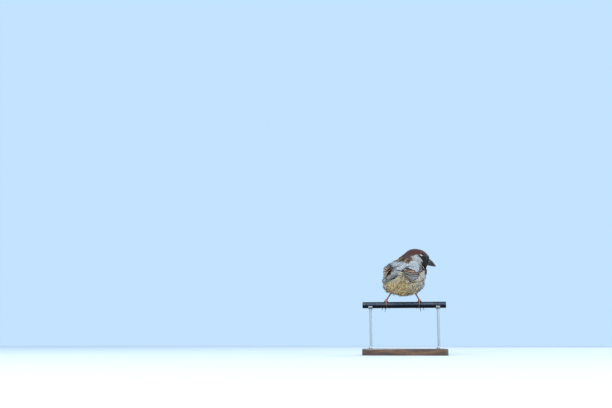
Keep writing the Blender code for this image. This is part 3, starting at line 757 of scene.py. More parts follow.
def vaneShape(name, width, crown, bend, fray, seed, shaftCount=5, rimCount=8):
    pick = random.Random(seed)
    ts = np.linspace(0, 1, shaftCount)
    points = [(0.0, 0.97 * t, crown * math.sin(math.pi * min(t * 1.05, 1)) + 0.02 - bend * t * t) for t in ts]
    vanePlaces = [(0.5, t) for t in ts]
    rims = []
    for side in (-1, 1):
        rims.append([])
        for k in range(1, rimCount * 2):
            t = k / (rimCount * 2)
            notch = 1.0 if k % 2 == 0 else 1 - fray * (0.7 + 0.6 * pick.random())
            half = width * 0.5 * float(rimHalf(np.array(t), 0.42, 3.0))
            y = t - (0.05 + 0.04 * pick.random()) * (notch < 1)
            rims[-1].append(len(points))
            points.append((side * half * notch, y, -bend * t * t - 0.01))
            vanePlaces.append((0.5 + side * 0.5 * notch, t))
    tip = len(points)
    points.append((0.0, 1.0, -bend - 0.005))
    vanePlaces.append((0.5, 1.0))
    spine = list(range(shaftCount)) + [tip]
    faces = []
    for side, rim in zip((-1, 1), rims):  # triangles between the shaft and each rim
        rim = [0] + rim + [tip]
        i = j = 0
        while i < len(spine) - 1 or j < len(rim) - 1:
            nextSpine = (i + 1) / (len(spine) - 1)
            nextRim = (j + 1) / (len(rim) - 1)
            if j < len(rim) - 1 and (nextRim <= nextSpine or i >= len(spine) - 1):
                face = (spine[i], rim[j], rim[j + 1])
                j += 1
            else:
                face = (spine[i], rim[j], spine[i + 1])
                i += 1
            if len(set(face)) == 3:
                faces.append(face[::-side])
    loop = [0] + rims[1] + [tip] + rims[0][::-1]
    faces.append(loop[::-1])  # the flat underside
    return shapeObject(name, points, faces, vanePlaces)


def plumeShape(name, barbs, spread, width, bend, seed):  # a fan of separate barbs
    pick = random.Random(seed)
    points, faces, vanePlaces = [], [], []
    for k in range(barbs):
        turn = spread * (-1 + 2 * (k + 0.5) / barbs) + pick.uniform(-0.06, 0.06)
        long = pick.uniform(0.7, 1.0)
        lift = pick.uniform(-0.05, 0.09)
        x, y = math.sin(turn), math.cos(turn)
        s = len(points)
        points += [(-width * 0.5 + 0.1 * x, 0.1 * y, 0.0), (width * 0.5 + 0.1 * x, 0.1 * y, 0.0),
                   (0.1 * x, 0.1 * y, width), (x * long, y * long, lift - bend)]
        vanePlaces += [(0.2, 0.1), (0.8, 0.1), (0.5, 0.1), (0.5, 1.0)]
        faces += [(s + 2, s + 1, s), (s, s + 1, s + 3), (s + 1, s + 2, s + 3), (s + 2, s, s + 3)]
    return shapeObject(name, points, faces, vanePlaces)


def shapeSet(name, count, shape):
    made = bpy.data.collections.new(name)
    for k in range(count):
        made.objects.link(shape(f"{name}{k}", k))
    return made


firmSet = shapeSet("firmFeather", 3, lambda name, k: vaneShape(name, 0.62 + 0.05 * k, 0.055, 0.10 + 0.03 * k,
                                                               0.10, 10 + k))
softSet = shapeSet("softFeather", 4, lambda name, k: vaneShape(name, 0.6 + 0.07 * k, 0.06, 0.10 + 0.04 * k,
                                                               0.26, 20 + k))
plumeSet = shapeSet("plume", 4, lambda name, k: plumeShape(name, 13, 0.40 + 0.07 * k, 0.024, 0.08 + 0.05 * k,
                                                           30 + k))
smallSet = shapeSet("smallFeather", 3, lambda name, k: vaneShape(name, 0.66, 0.07, 0.10, 0.2, 40 + k, 4, 5))


# The coat: one Geometry Nodes tree sets feathers on the skin, along its lie

def coatTree():
    tree, add, given = newTree("feather coat", {
        "Skin": "Geometry", "Cover": "String", "Spacing": "Float", "Length": "Float", "Lift": "Float",
        "Lift spread": "Float", "Swing": "Float", "Size spread": "Float", "Sink": "Float",
        "Tint spread": "Float", "Seed": "Int", "Feathers": "Collection", "Finish": "Material"})
    cover, size = (add("GeometryNodeInputNamedAttribute", {"Name": name}, data_type="FLOAT")
                   for name in (given["Cover"], "featherSize"))
    flow, vane, rootUv = (add("GeometryNodeInputNamedAttribute", {"Name": name}, data_type="FLOAT_VECTOR")
                          for name in ("flow", "vane", "rootUv"))

    def chance(plus, spread, middle=0.0):  # middle, give or take spread
        seed = add("Math", [given["Seed"], plus], operation="ADD")
        pick = add("FunctionNodeRandomValue", {"Min": -1.0, "Max": 1.0, "Seed": seed})
        return add("Math", [pick, spread, middle], operation="MULTIPLY_ADD")

    dots = add("GeometryNodeDistributePointsOnFaces",
               {"Mesh": given["Skin"], "Distance Min": given["Spacing"], "Density Max": 6.0e6,
                "Density Factor": cover, "Seed": given["Seed"]}, distribute_method="POISSON")
    normal = dots.outputs["Normal"]
    # each feather lies along the flow, a little lifted, swung and turned
    turn = add("FunctionNodeAxesToRotation", [normal, flow], primary_axis="Z", secondary_axis="Y")
    tilt = add("CombineXYZ", {"X": chance(11, given["Lift spread"], given["Lift"]), "Y": chance(12, 0.12),
                              "Z": chance(13, given["Swing"])})
    tilt = add("FunctionNodeEulerToRotation", [tilt])
    turn = add("FunctionNodeRotateRotation", [turn, tilt], rotation_space="LOCAL")
    scale = add("Math", [chance(14, given["Size spread"], 1.0), given["Length"]], operation="MULTIPLY")
    scale = add("Math", [scale, size], operation="MULTIPLY")
    # its root is sunk into the skin
    sink = add("Math", [given["Sink"], -1.0], operation="MULTIPLY")
    sunk = add("VectorMath", {0: normal, "Scale": sink}, operation="SCALE")
    points = add("GeometryNodeSetPosition", {"Geometry": dots, "Offset": sunk})
    points = add("GeometryNodeStoreNamedAttribute",
                 {"Geometry": points, "Name": "tint", "Value": chance(15, given["Tint spread"], 1.0)})
    shapes = add("GeometryNodeCollectionInfo", {"Collection": given["Feathers"], "Separate Children": True,
                                                "Reset Children": True})
    put = add("GeometryNodeInstanceOnPoints", {"Points": points, "Instance": shapes, "Pick Instance": True,
                                               "Rotation": turn, "Scale": scale})
    real = add("GeometryNodeRealizeInstances", [put])
    # on the bake's map it takes a small patch where its root is
    patch = add("VectorMath", [vane, (0.5, 0.5, 0.0)], operation="SUBTRACT")
    patch = add("VectorMath", [patch, (0.003, 0.003, 0.0), rootUv], operation="MULTIPLY_ADD")
    real = add("GeometryNodeStoreNamedAttribute", {"Geometry": real, "Name": "OFBake", "Value": patch},
               data_type="FLOAT2", domain="CORNER")
    real = add("GeometryNodeSetMaterial", {"Geometry": real, "Material": given["Finish"]})
    add("NodeGroupOutput", [real])
    return tree


featherCoat = coatTree()


def growCoat(name, slotName, base, row, finish, seed):
    cover, shapes, spacing, length, lift, liftSpread, swing, sizeSpread, sink, tint = row
    mesh = grown(name, base.data.copy(), featherCoat, {
        "Cover": cover, "Spacing": spacing * mm, "Length": length * mm, "Lift": lift,
        "Lift spread": liftSpread, "Swing": swing, "Size spread": sizeSpread, "Sink": sink * mm,
        "Tint spread": tint, "Seed": seed, "Feathers": shapes, "Finish": finish})
    for extra in [a.name for a in mesh.attributes
                  if a.name.endswith("Cover") or a.name in ("flow", "featherSize", "rootUv")]:
        mesh.attributes.remove(mesh.attributes[extra])
    place(newObject(name, mesh), slotName)
    print(name, len(mesh.polygons), "faces")


# slot, cover and shapes, then spacing, length, lift, lift spread, swing, size spread, sink and tint spread,
# in millimetres and radians
coatPlan = {
    "coatFace": ("crown", "faceCover", smallSet, 0.62, 2.3, 0.10, 0.05, 0.16, 0.16, 0.05, 0.08),
    "coatCrown": ("crown", "crownCover", smallSet, 0.72, 4.0, 0.07, 0.04, 0.14, 0.16, 0.1, 0.10),
    "coatNeck": ("neck", "neckCover", softSet, 1.1, 6.6, 0.08, 0.05, 0.16, 0.18, 0.15, 0.10),
    "coatMantle": ("trunk", "mantleCover", firmSet, 1.7, 9.5, 0.10, 0.04, 0.10, 0.12, 0.2, 0.08),
    "coatRump": ("trunk", "rumpCover", softSet, 1.45, 9.5, 0.13, 0.08, 0.18, 0.2, 0.2, 0.08),
    "coatBreast": ("trunk", "breastCover", softSet, 1.4, 9.0, 0.12, 0.06, 0.16, 0.2, 0.2, 0.08),
    "coatBelly": ("trunk", "bellyCover", softSet, 1.5, 9.5, 0.14, 0.09, 0.24, 0.22, 0.2, 0.09),
    "coatLegs": ("trunk", "legCover", smallSet, 0.7, 2.5, 0.06, 0.04, 0.2, 0.2, 0.05, 0.09),
}
plumePlan = {
    "plumesNeck": ("neck", "neckCover", plumeSet, 1.5, 6.4, 0.16, 0.08, 0.3, 0.2, 0.1, 0.12),
    "plumesRump": ("trunk", "rumpCover", plumeSet, 1.6, 9.5, 0.24, 0.10, 0.3, 0.2, 0.1, 0.12),
    "plumesBreast": ("trunk", "breastCover", plumeSet, 1.7, 8.8, 0.20, 0.08, 0.3, 0.2, 0.1, 0.10),
    "plumesBelly": ("trunk", "bellyCover", plumeSet, 1.6, 9.8, 0.26, 0.12, 0.4, 0.25, 0.1, 0.12),
    "plumesFlank": ("trunk", "flankCover", plumeSet, 1.3, 8.5, 0.42, 0.12, 0.5, 0.25, 0.1, 0.12),
}
shoulderRow = ("shoulderCover", smallSet, 1.15, 4.4, 0.10, 0.04, 0.12, 0.12, 0.1, 0.1)

for plan, finish, seed in ((coatPlan, coatFinish, 100), (plumePlan, plumeFinish, 400)):
    for name, (slotName, *row) in plan.items():
        seed += 17
        growCoat(name, slotName, skin, row, finish, seed)
skinMesh.attributes.remove(skinMesh.attributes["rootUv"])
print("coat done")


# What the flight feathers lie on: the outer face of the wing and tail solids

turnStep = 2.0
grid = {"x": np.arange(30.0, -64.0, -1.0), "turn": np.arange(10.0, 126.0, turnStep)}  # millimetres, degrees
rayStart = 60.0  # outside everything
armRadius = 18.0  # arcs round the body are lengths at this radius


def wingRay(side, degrees):
    turn = np.radians(np.asarray(degrees, float))[..., None]
    return np.cos(turn) * bodyU + sides[side] * np.sin(turn) * bodyR


def softened(values):  # each cell the mean of its four neighbours
    wide = np.pad(values, 1, mode="edge")
    return (wide[:-2, 1:-1] + wide[2:, 1:-1] + wide[1:-1, :-2] + wide[1:-1, 2:]) / 4


def radiusMap(side, tree):  # how far out the solids reach, with the gaps filled in softly
    found = np.full((len(grid["x"]), len(grid["turn"])), np.nan)
    for i, x in enumerate(grid["x"]):
        for j, degrees in enumerate(grid["turn"]):
            ray = wingRay(side, degrees)
            hit = tree.ray_cast(Vector(wingAxis(x) + rayStart * ray), Vector(-ray), rayStart)
            if hit[0] is not None:
                found[i, j] = rayStart - hit[3]
    known = ~np.isnan(found)
    filled = np.where(known, found, np.nanmean(found))
    for _ in range(400):
        filled = np.where(known, found, softened(filled))
    return filled


wingReach = {side: radiusMap(side, nodeTree(*wingNodes(side))) for side in sides}
bodyReach = {side: radiusMap(side, nodeTree("trunk", "neck", *wingNodes(side))) for side in sides}


def wingPlace(side, x, degrees, height, reachMap):
    rows, columns = reachMap.shape
    i = np.clip((grid["x"][0] - x), 0, rows - 1.001)
    j = np.clip((degrees - grid["turn"][0]) / turnStep, 0, columns - 1.001)
    i0, j0 = i.astype(int), j.astype(int)
    di, dj = i - i0, j - j0
    reach = (reachMap[i0, j0] * (1 - di) * (1 - dj) + reachMap[i0 + 1, j0] * di * (1 - dj)
             + reachMap[i0, j0 + 1] * (1 - di) * dj + reachMap[i0 + 1, j0 + 1] * di * dj)
    return wingAxis(x) + (reach + height)[..., None] * wingRay(side, degrees)


def wingSpot(side, rise, reachMap):  # the place of a point at x and an arc round the body
    def spot(x, arc, height):
        return wingPlace(side, x, arc / armRadius * 180 / math.pi, height + rise, reachMap)

    return spot


def at(x, degrees):
    return (x, math.radians(degrees) * armRadius)


def tailPlace(x, across, height):
    wide = 5.0 + 3.2 * x / tailPlan["length"]
    arch = 1.3 * (1 - np.clip(across / wide, -1.2, 1.2) ** 2) - 0.8
    return (tailRoot + np.asarray(x)[..., None] * tailF + np.asarray(across)[..., None] * tailR
            + (arch + height)[..., None] * tailU)


# Laying single feathers: a thin closed vane with its shaft, along a path over those faces

chance = random.Random(7)
lookKeys = ("edgeColour", "coreColour", "coreWidth", "tipFrom", "sideEdge")  # what the finish reads


def newBed():  # gathers feathers into one piece
    return {key: [] for key in ("points", "faces", "vane", "patch", "tint", *lookKeys)}


def addVane(bed, top, under, local, look, tint):
    rows, columns = top.shape[:2]
    bed["faces"] += sheetFaces(rows, columns, len(bed["points"]))
    flat = np.concatenate([top.reshape(-1, 3), under.reshape(-1, 3)])
    both = np.concatenate([local.reshape(-1, 2)] * 2)
    bed["points"] += flat.tolist()
    bed["vane"] += both.tolist()
    bed["patch"] += (skinPlaceOf(top[0, columns // 2]) + (both - 0.5) * 0.003).tolist()
    for key, value in (("tint", tint), *((key, look[key]) for key in lookKeys)):
        bed[key] += [value] * len(flat)


def finishBed(bed, name, slotName, finish, nodes=()):
    mesh = meshFrom(name, bed["points"], bed["faces"])
    corners = cornersOf(mesh)
    setUv(mesh, "vane", np.array(bed["vane"])[corners])
    setUv(mesh, "OFBake", np.array(bed["patch"])[corners])
    for key in ("tint", *lookKeys):
        setAttribute(mesh, key, bed[key])
    place(newObject(name, putOut(mesh, merge=False), finish), slotName, *nodes)
    print(name, len(mesh.polygons), "faces")


def vaneGrid(rows, columns, fullAt, sharp, fray):  # shares along and across, with a softly worn edge
    t = 1 - (1 - np.linspace(0, 1, rows)) ** 1.25
    s = np.linspace(-1, 1, columns)
    s = np.sign(s) * np.abs(s) ** 0.9
    wide = 0.10 + 0.90 * rimHalf(t, fullAt, sharp)
    wide[-1] = 0.12
    worn = np.ones((rows, columns))
    for edge in (0, -1):
        worn[:, edge] -= [fray * chance.random() for _ in range(rows)]
    return t, s, wide[:, None] * worn


def layFeather(bed, spot, look, root, tip, **given):
    # spot(along, across, height) gives the place; root and tip are (along, across) on that face
    look = {**look, **given}
    lift, width = look["lift"], look["wide"]
    t, s, share = vaneGrid(*(look[key] for key in ("rows", "columns", "fullAt", "sharp", "fray")))
    root, tip = np.array(root, float), np.array(tip, float)
    side = unit(np.array([-(tip - root)[1], (tip - root)[0]]))
    line = root + (tip - root) * t[:, None] + (look["bow"] * np.sin(np.pi * t))[:, None] * side
    half = width / 2 * share * (1 + look["lean"] * np.sign(s))
    spots = line[:, None, :] + (half * s)[..., None] * side
    crown = look["crown"] * (1 - s ** 2) * np.sin(np.pi * np.clip(t + 0.12, 0, 1))[:, None]
    ridge = look["shaft"] * np.exp(-(s * width / 2 / 0.28) ** 2) * (1 - 0.8 * t)[:, None]
    height = lift[0] + (lift[1] - lift[0]) * t[:, None] + crown + ridge
    height = height - look["cant"] * s * np.minimum(1, 4 * t)[:, None]
    thick = look["thick"] * (1 - 0.55 * np.abs(s)) * (1 - 0.4 * t)[:, None]
    top = spot(spots[..., 0], spots[..., 1], height)
    under = spot(spots[..., 0], spots[..., 1], height - thick)
    local = np.stack(np.broadcast_arrays(0.5 + 0.5 * s, t[:, None]), 2)
    addVane(bed, top, under, local, look, chance.uniform(0.9, 1.08))


usualVane = {
    "fullAt": 0.5, "sharp": 4.0, "fray": 0.05, "lean": 0.0,  # where it is widest, how blunt, worn, lopsided
    "crown": 0.35, "shaft": 0.12, "thick": 0.16,  # rise of the vane and of the shaft, and thickness
    "tipFrom": 0.7, "sideEdge": 1.0,  # where the edge's colour starts at the tip, and how much of it aside
    "wide": 4.4, "lift": (0.0, 0.2), "bow": 0.0, "cant": 0.0,  # height at root and tip, sideways bend, tilt
    "rows": 9, "columns": 5,
}


def featherLook(edge, core, coreWidth, *vane, **laid):  # vane takes the place of the first usual values
    return {**usualVane, **dict(zip(usualVane, vane)), **laid, "edgeColour": hexColour(edge),
            "coreColour": hexColour(core), "coreWidth": coreWidth}


# Wings: rows of feathers from the wing tip forwards, each row over the roots of the one before

wingPlan = {  # edges of the shut wing, in degrees from the back, at its front, middle and rear
    "left": {"coverTop": (60, 52, 52), "coverLow": (92, 101, 102), "topEdge": (52, 34, 30),
             "innerLow": (82, 80, 80), "lowTop": (83.2, 81.5, 84), "lowEdge": (102, 106, 106), "end": -55.0,
             "sideCover": (86, 92, 108), "primaries": 7, "secondaries": 6, "secondaryCore": 0.66,
             "tertials": (  # how far down, tip, width, width of the dark core, where the pale tip starts
                 (0.22, -38.5, 6.6, 0.62, 0.7), (0.02, -37.5, 7.0, 0.72, 0.7),
                 (-0.14, -36.5, 7.0, 0.86, 0.7), (-0.26, -34.5, 6.6, 0.9, 0.7)),
             "tertialRise": -0.6, "tertialTipLift": 1.75},
    "right": {"coverTop": (60, 55, 58), "coverLow": (92, 101, 102), "topEdge": (58, 42, 36),
              "innerLow": (82, 77, 64), "lowTop": (83.2, 78.2, 50), "lowEdge": (102, 98, 60), "end": -57.0,
              "sideCover": (76, 78, 100), "primaries": 6, "secondaries": 5, "secondaryCore": 0.84,
              "tertials": (
                  (0.44, -38.5, 6.6, 0.86, 0.7), (0.34, -37.0, 7.0, 0.86, 0.7),
                  (0.22, -34.8, 7.0, 0.93, 0.88), (0.10, -31.5, 6.6, 0.93, 0.88)),
              "tertialRise": -1.75, "tertialTipLift": 1.35},
}
wingSpans = {"front": 23.0, "coverRear": -9.7, "cover": 32.3, "inner": 31.3}  # millimetres along the body
wingSink = -1.95  # the flight feathers' roots under the solids' face
wingLooks = {
    "primary": featherLook("#a2968a", "#35302e", 0.80, 0.6, 5.0, 0.02, 0.10, 0.1, 0.08, 0.11,
                           wide=5.2, lift=(0.55, 0.45), cant=0.6, rows=18, columns=7),
    "secondary": featherLook("#cfae8c", "#231c1a", 0.84, 0.6, 5.0, 0.04, 0.08, 0.15, 0.1, 0.13,
                             wide=6.4, lift=(1.0, 1.15), cant=0.42, rows=16, columns=7),
    "tertial": featherLook("#c79c78", "#1d1614", 0.86, 0.55, 4.5, 0.06, 0.0, 0.3,
                           bow=0.6, cant=0.15, rows=14, columns=7),
    "primaryCovert": featherLook("#ab8f6e", "#332b26", 0.76, 0.6, 4.5, 0.05, 0.0, 0.12, 0.1, 0.12,
                                 wide=3.6, lift=(0.8, 1.15), cant=0.35),
    "alula": featherLook("#a48e76", "#312a26", 0.76, 0.6, 4.5, 0.05, 0.0, 0.15, 0.1, 0.12,
                         wide=3.4, cant=0.25),
    "greaterCovert": featherLook("#c08e66", "#231a17", 0.84, 0.6, 4.0, 0.06, 0.0, 0.2, 0.1, 0.13,
                                 wide=6.0, lift=(1.3, 1.75), bow=0.3, cant=0.26, rows=10, columns=7),
    "medianCovert": featherLook("#f4efe6", "#1f1915", 0.62, 0.62, 3.6, 0.08, 0.0, 0.25, 0.1, 0.13, 0.45, 0.5,
                                wide=4.6, lift=(0.7, 2.2), bow=0.2, cant=0.22, rows=10, columns=7),
    "scapular": featherLook("#c1946a", "#281e18", 0.50, 0.58, 3.6, 0.10, 0.0, 0.35, 0.1, 0.13),
    "soft": featherLook("#cfcbc6", "#b0a89c", 0.3, 0.6, 2.6, 0.22, 0.0, 0.35, 0.06, 0.13),
}


def along3(values, t):
    return np.interp(t, (0, 0.5, 1), values)


def wingEdge(side, x, share):  # degrees at x, share 0 at the upper edge and 1 at the lower one
    plan, rear = wingPlan[side], wingSpans["coverRear"]
    front = np.clip((wingSpans["front"] - x) / wingSpans["cover"], 0, 1)
    inner = np.clip((rear - x) / wingSpans["inner"], 0, 1)
    outer = np.clip((rear - x) / (rear - plan["end"]), 0, 1)
    top = np.where(x > rear, along3(plan["coverTop"], front), along3(plan["topEdge"], inner))
    low = np.where(x > rear, along3(plan["coverLow"], front), along3(plan["lowEdge"], outer))
    return top + (low - top) * share


def bowOf(middle, root, tip):  # sideways bend of a feather that passes its middle at these degrees
    return -math.radians(middle - (root + tip) / 2) * armRadius


def makePrimaries(bed, spot, plan):  # every feather's inner edge tucks in under the next one up
    lowTop, lowEdge, last = plan["lowTop"], plan["lowEdge"], plan["primaries"] - 1
    rear = wingSpans["coverRear"]

    def between(t, share):
        return along3(lowTop, t) + (along3(lowEdge, t) - along3(lowTop, t)) * share

    for k in range(last, -1, -1):
        share = k / last
        tip = plan["end"] + 0.4 + 9.5 * (1 - share) ** 1.2 + (1.6 if k == last else 0)
        t = np.clip((rear - tip) / (rear - plan["end"]), 0, 1)
        tipTurn = between(t, 0.15 + 0.62 * share)
        rootTurn = lowTop[0] - 1 + (lowEdge[0] - lowTop[0] - 4) * share
        bow = bowOf(between(t / 2, 0.02 + 0.82 * share), rootTurn, tipTurn)
        layFeather(bed, spot, wingLooks["primary"], at(-8.0 + 1.5 * (1 - share), rootTurn), at(tip, tipTurn),
                   bow=bow, edgeColour=blend(hexColour("#c3beb8"), hexColour("#94765c"), share ** 1.5))


def makeSecondaries(bed, spot, plan):
    last = plan["secondaries"] - 1
    spreads = list(zip(plan["topEdge"], plan["innerLow"], (0.30, 0.34, 0.26), (0.75, 0.64, 0.70)))
    for k in range(last, -1, -1):
        share = k / last
        tip = -41.8 + 2.4 * (1 - share) + (0.7 if k % 2 else 0)
        rootTurn, middle, tipTurn = (high + (low - high) * (first + step * share)
                                     for high, low, first, step in spreads)
        layFeather(bed, spot, wingLooks["secondary"], at(-5.0, rootTurn), at(tip, tipTurn),
                   bow=bowOf(middle, rootTurn, tipTurn), coreWidth=plan["secondaryCore"],
                   edgeColour=blend(hexColour("#cf9b6b"), hexColour("#cfc4b6"), share))


def makeTertials(bed, side, plan):  # the shortest on top; the left ones pass down onto the back
    reach = np.fmax(wingReach[side], bodyReach[side])
    if side == "left":
        reach = bodyReach[side]
        for _ in range(5):
            reach = softened(reach)
        reach = np.fmax(reach, bodyReach[side])
    spot = wingSpot(side, plan["tertialRise"], reach)
    high, low = plan["topEdge"], plan["innerLow"]
    for k, (share, tip, wide, coreWidth, tipFrom) in enumerate(plan["tertials"]):
        t = (wingSpans["coverRear"] - tip) / wingSpans["inner"]
        tipTurn = along3(high, t) + (along3(low, t) - along3(high, t)) * share
        rootTurn = high[0] + (low[0] - high[0]) * (share + 0.1)
        layFeather(bed, spot, wingLooks["tertial"], at(-4.0, rootTurn), at(tip, tipTurn), wide=wide,
                   lift=(1.3 + 0.12 * k, plan["tertialTipLift"] + 0.14 * k), coreWidth=coreWidth,
                   tipFrom=tipFrom)


def makeCoverts(bed, spot, side):
    def lay(kind, rootX, rootShare, tipX, tipShare, more=0.0, **given):
        layFeather(bed, spot, wingLooks[kind], at(rootX, wingEdge(side, rootX, rootShare)),
                   at(tipX, wingEdge(side, tipX, tipShare) + more), **given)

    for k in range(6, -1, -1):
        share = 0.72 + 0.28 * k / 6
        lay("primaryCovert", 2.0, share - 0.02, -16.5 - 2.4 * k / 6, share - 0.05)
    for k in (2, 1, 0):
        share = 0.86 + 0.05 * k
        lay("alula", 9.0, share, -9.0 + 2.6 * (2 - k), share, lift=(1.15, 1.5 + 0.08 * (2 - k)))
    for k in range(6, -1, -1):
        share = 0.84 * k / 6
        lay("greaterCovert", 5.0, share, -12.8 + 2.4 * k / 6 + chance.uniform(-0.5, 0.5), share, 1.0)
    for k in range(7, -1, -1):
        share = -0.16 + 1.02 * k / 7
        x = 2.0 + 6.5 * min(1, k / 4.0) + chance.uniform(-0.4, 0.4)
        lay("medianCovert", x + 6.0, share, x, share)


def makeWing(side, plan):
    spot = wingSpot(side, wingSink, wingReach[side])
    flight, cover = newBed(), newBed()
    makePrimaries(flight, spot, plan)
    makeSecondaries(flight, spot, plan)
    makeTertials(flight, side, plan)
    makeCoverts(cover, spot, side)
    finishBed(flight, f"wing{side.capitalize()}Flight", "wing", flightFinish)
    finishBed(cover, f"wing{side.capitalize()}Coverts", "wing", flightFinish)


def wingBed(side):  # the arm and feather roots under the rows: a closed sheet that the small coverts grow on
    rows, columns = 34, 15
    x = np.linspace(wingSpans["front"], -36.0, rows)[:, None] + np.zeros((1, columns))
    share = np.linspace(0.02, 0.98, columns)[None, :] + np.zeros((rows, 1))
    degrees = wingEdge(side, x, share)
    rim = np.minimum(np.minimum(share, 1 - share) * 8, 1) * np.clip((23.6 - x) / 4, 0, 1)
    rise = wingSink + 1.1 * ease(x, 6, 14) * rim ** 0.5 - 0.4 * (1 - rim)
    layers = [wingPlace(side, x, degrees, height, wingReach[side]) for height in (rise, -2.45 - 0.1 * rim)]
    mesh = meshFrom(f"wingBed{side}", np.reshape(layers, (-1, 3)), sheetFaces(rows, columns, 0))
    putOut(mesh, merge=False)
    made, normals, _ = arrays(mesh)
    along = bodyPlace(made)[0]
    lie = -bodyF - 0.1 * bodyU
    outer = np.repeat([1.0, 0.0], rows * columns)  # only the upper face grows feathers
    chestnut = tones["chestnut"] * (1 + 0.18 * wobble(made, 2.5, 4))[:, None]
    setCoatOn(mesh, unit(lie - (normals @ lie)[:, None] * normals),
              blend(hexColour("#5b4a3c"), chestnut, ease(along, 2, 6)),
              np.tile(tones["chestnutDark"], (len(made), 1)), np.full(len(made), 0.34),
              {"shoulderCover": ease(along, 3.5, 6.5) * outer,
               "featherSize": 1.0 - 0.3 * ease(along, 14, 23)})
    patch = np.array([skinPlaceOf(p) for p in made])[cornersOf(mesh)]
    setAttribute(mesh, "rootUv", np.pad(patch, ((0, 0), (0, 1))), "CORNER")
    setUv(mesh, "OFBake", patch)
    title = f"wing{side.capitalize()}"
    piece = newObject(title + "Bed", mesh, downFinish)
    growCoat(title + "Shoulder", "wing", piece, shoulderRow, coatFinish, 900)
    mesh.attributes.remove(mesh.attributes["rootUv"])
    place(piece, "wing", *wingNodes(side))


def coatLook(spot, x, degrees):  # a soft feather in the coat's own colours at that place
    root = spot(np.array([x]), np.array([math.radians(degrees) * armRadius]), np.array([0.0]))
    edge, core, width = markings(root)
    return dict(wingLooks["soft"], edgeColour=edge[0], coreColour=core[0], coreWidth=float(width[0]))


def makeScapulars(side):  # shoulder feathers lie over the wing's upper edge
    spot = wingSpot(side, -0.9, bodyReach[side])
    bed = newBed()
    for shift, lift in ((4.0, 0.6), (-3.0, 0.8), (-9.0, 1.0)):
        for k in range(8, -1, -1):
            x = 17.0 - 2.9 * k + chance.uniform(-0.6, 0.6)
            top = wingEdge(side, x, 0.0) + shift
            if side == "right" and x > 2:
                continue  # the mantle covers them
            look = wingLooks["scapular"] if side == "left" else coatLook(spot, x + 5.5, top - 4)
            tip = at(x - 6.5, top + 3 + chance.uniform(-2, 2))
            layFeather(bed, spot, look, at(x + 5.5, top - 12), tip, wide=5.4,
                       lift=(lift - 0.9, lift + 0.05 * k), bow=0.3)
    finishBed(bed, f"scapulars{side.capitalize()}", "wing", flightFinish)


def makeSideFeathers(side, low):  # breast and flank feathers close over the bend and lower edge of the wing
    spot = wingSpot(side, -0.5, bodyReach[side])
    bed = newBed()

    def lay(rootX, rootTurn, tipX, tipTurn, wide, lift):
        look = coatLook(spot, rootX, rootTurn)
        if side == "right" and tipX > 5 and tipTurn < 80:  # black on the right side's front feathers, by the wing's bend
            look.update(edgeColour=tones["blackEdge"] * 0.5, coreColour=tones["black"])
            lift += 1.5
        layFeather(bed, spot, look, at(rootX, rootTurn), at(tipX, tipTurn), wide=wide, lift=(-1.0, lift),
                   bow=chance.uniform(-0.6, 0.6))

    for row in range(4):
        for k in range(17):
            x = 22.0 - 3.0 * k + (1.5 if row % 2 else 0) + chance.uniform(-0.7, 0.7)
            cover = np.interp(-x, (-20, 2, 22), low) + 7.5 * (3 - row) + chance.uniform(-2, 2)
            lay(x + 6.0, cover + 9 + 3 * (x > 8), x - 5.0, cover, 4.4, 0.45 + 0.10 * row)
    for row in range(3):
        for k in range(13):
            turn = 50 + (low[0] - 50) * k / 12 + (2 if row else 0) + chance.uniform(-1.5, 1.5)
            lay(29.0 - 2.2 * row, turn, 22.5 - 2.2 * row + chance.uniform(-0.8, 0.8), turn + 2, 3.2,
                0.3 + 0.15 * row)
    finishBed(bed, f"flank{side.capitalize()}", "trunk", coatFinish)


backPlan = {  # the border of the back feathers over each wing: millimetres back, degrees from the middle
    # shade: how dark each side's copy of the grey back colour is; the left side's is painted shade
    "left": {"back": (0, 6, 12, 18, 23, 27), "turn": (34, 38, 43, 38, 28, 18), "rows": 8, "count": 13,
             "rise": 1.3, "front": (-17.0, 10.0), "wide": 3.7, "shade": 0.84},
    "right": {"back": (0, 8, 12, 18, 26, 31), "turn": (54, 58, 65, 65, 48, 34), "rows": 6, "count": 17,
              "rise": 1.0, "front": (-27.1, 23.5), "wide": 4.4, "shade": 1.0},
}


def makeBackFeathers(side, plan):  # fluffed grey feathers of the back, over the wing's upper part
    spot = wingSpot(side, plan["rise"], bodyReach[side])
    bed = newBed()
    for row in range(plan["rows"]):
        for k in range(plan["count"] - 1, -1, -1):
            x = 0.0 - 2.1 * k + (1.0 if row % 2 else 0) + chance.uniform(-0.6, 0.6)
            low = np.interp(-x, plan["back"], plan["turn"]) - 4.5 * row + chance.uniform(-1.5, 1.5)
            if x + 5.5 > np.interp(low, (10, 65), plan["front"]):
                continue  # the mantle shows here
            layFeather(bed, spot, wingLooks["soft"], at(x + 5.5, low - 8), at(x - 4.0, low), coreWidth=0.2,
                       edgeColour=tones["rump"] * plan["shade"] * chance.uniform(0.76, 0.98),
                       coreColour=tones["rumpCore"] * chance.uniform(0.85, 1.1),
                       wide=plan["wide"], lift=(-1.2, 0.25 + 0.08 * row), bow=chance.uniform(-0.6, 0.6))
    finishBed(bed, f"backFeathers{side.capitalize()}", "trunk", coatFinish)


for side in sides:
    wingBed(side)
    makeWing(side, wingPlan[side])
    makeScapulars(side)
    makeSideFeathers(side, wingPlan[side]["sideCover"])
    makeBackFeathers(side, backPlan[side])
print("wings done")


# Tail: twelve feathers, the middle pair on top, and the coverts over their roots

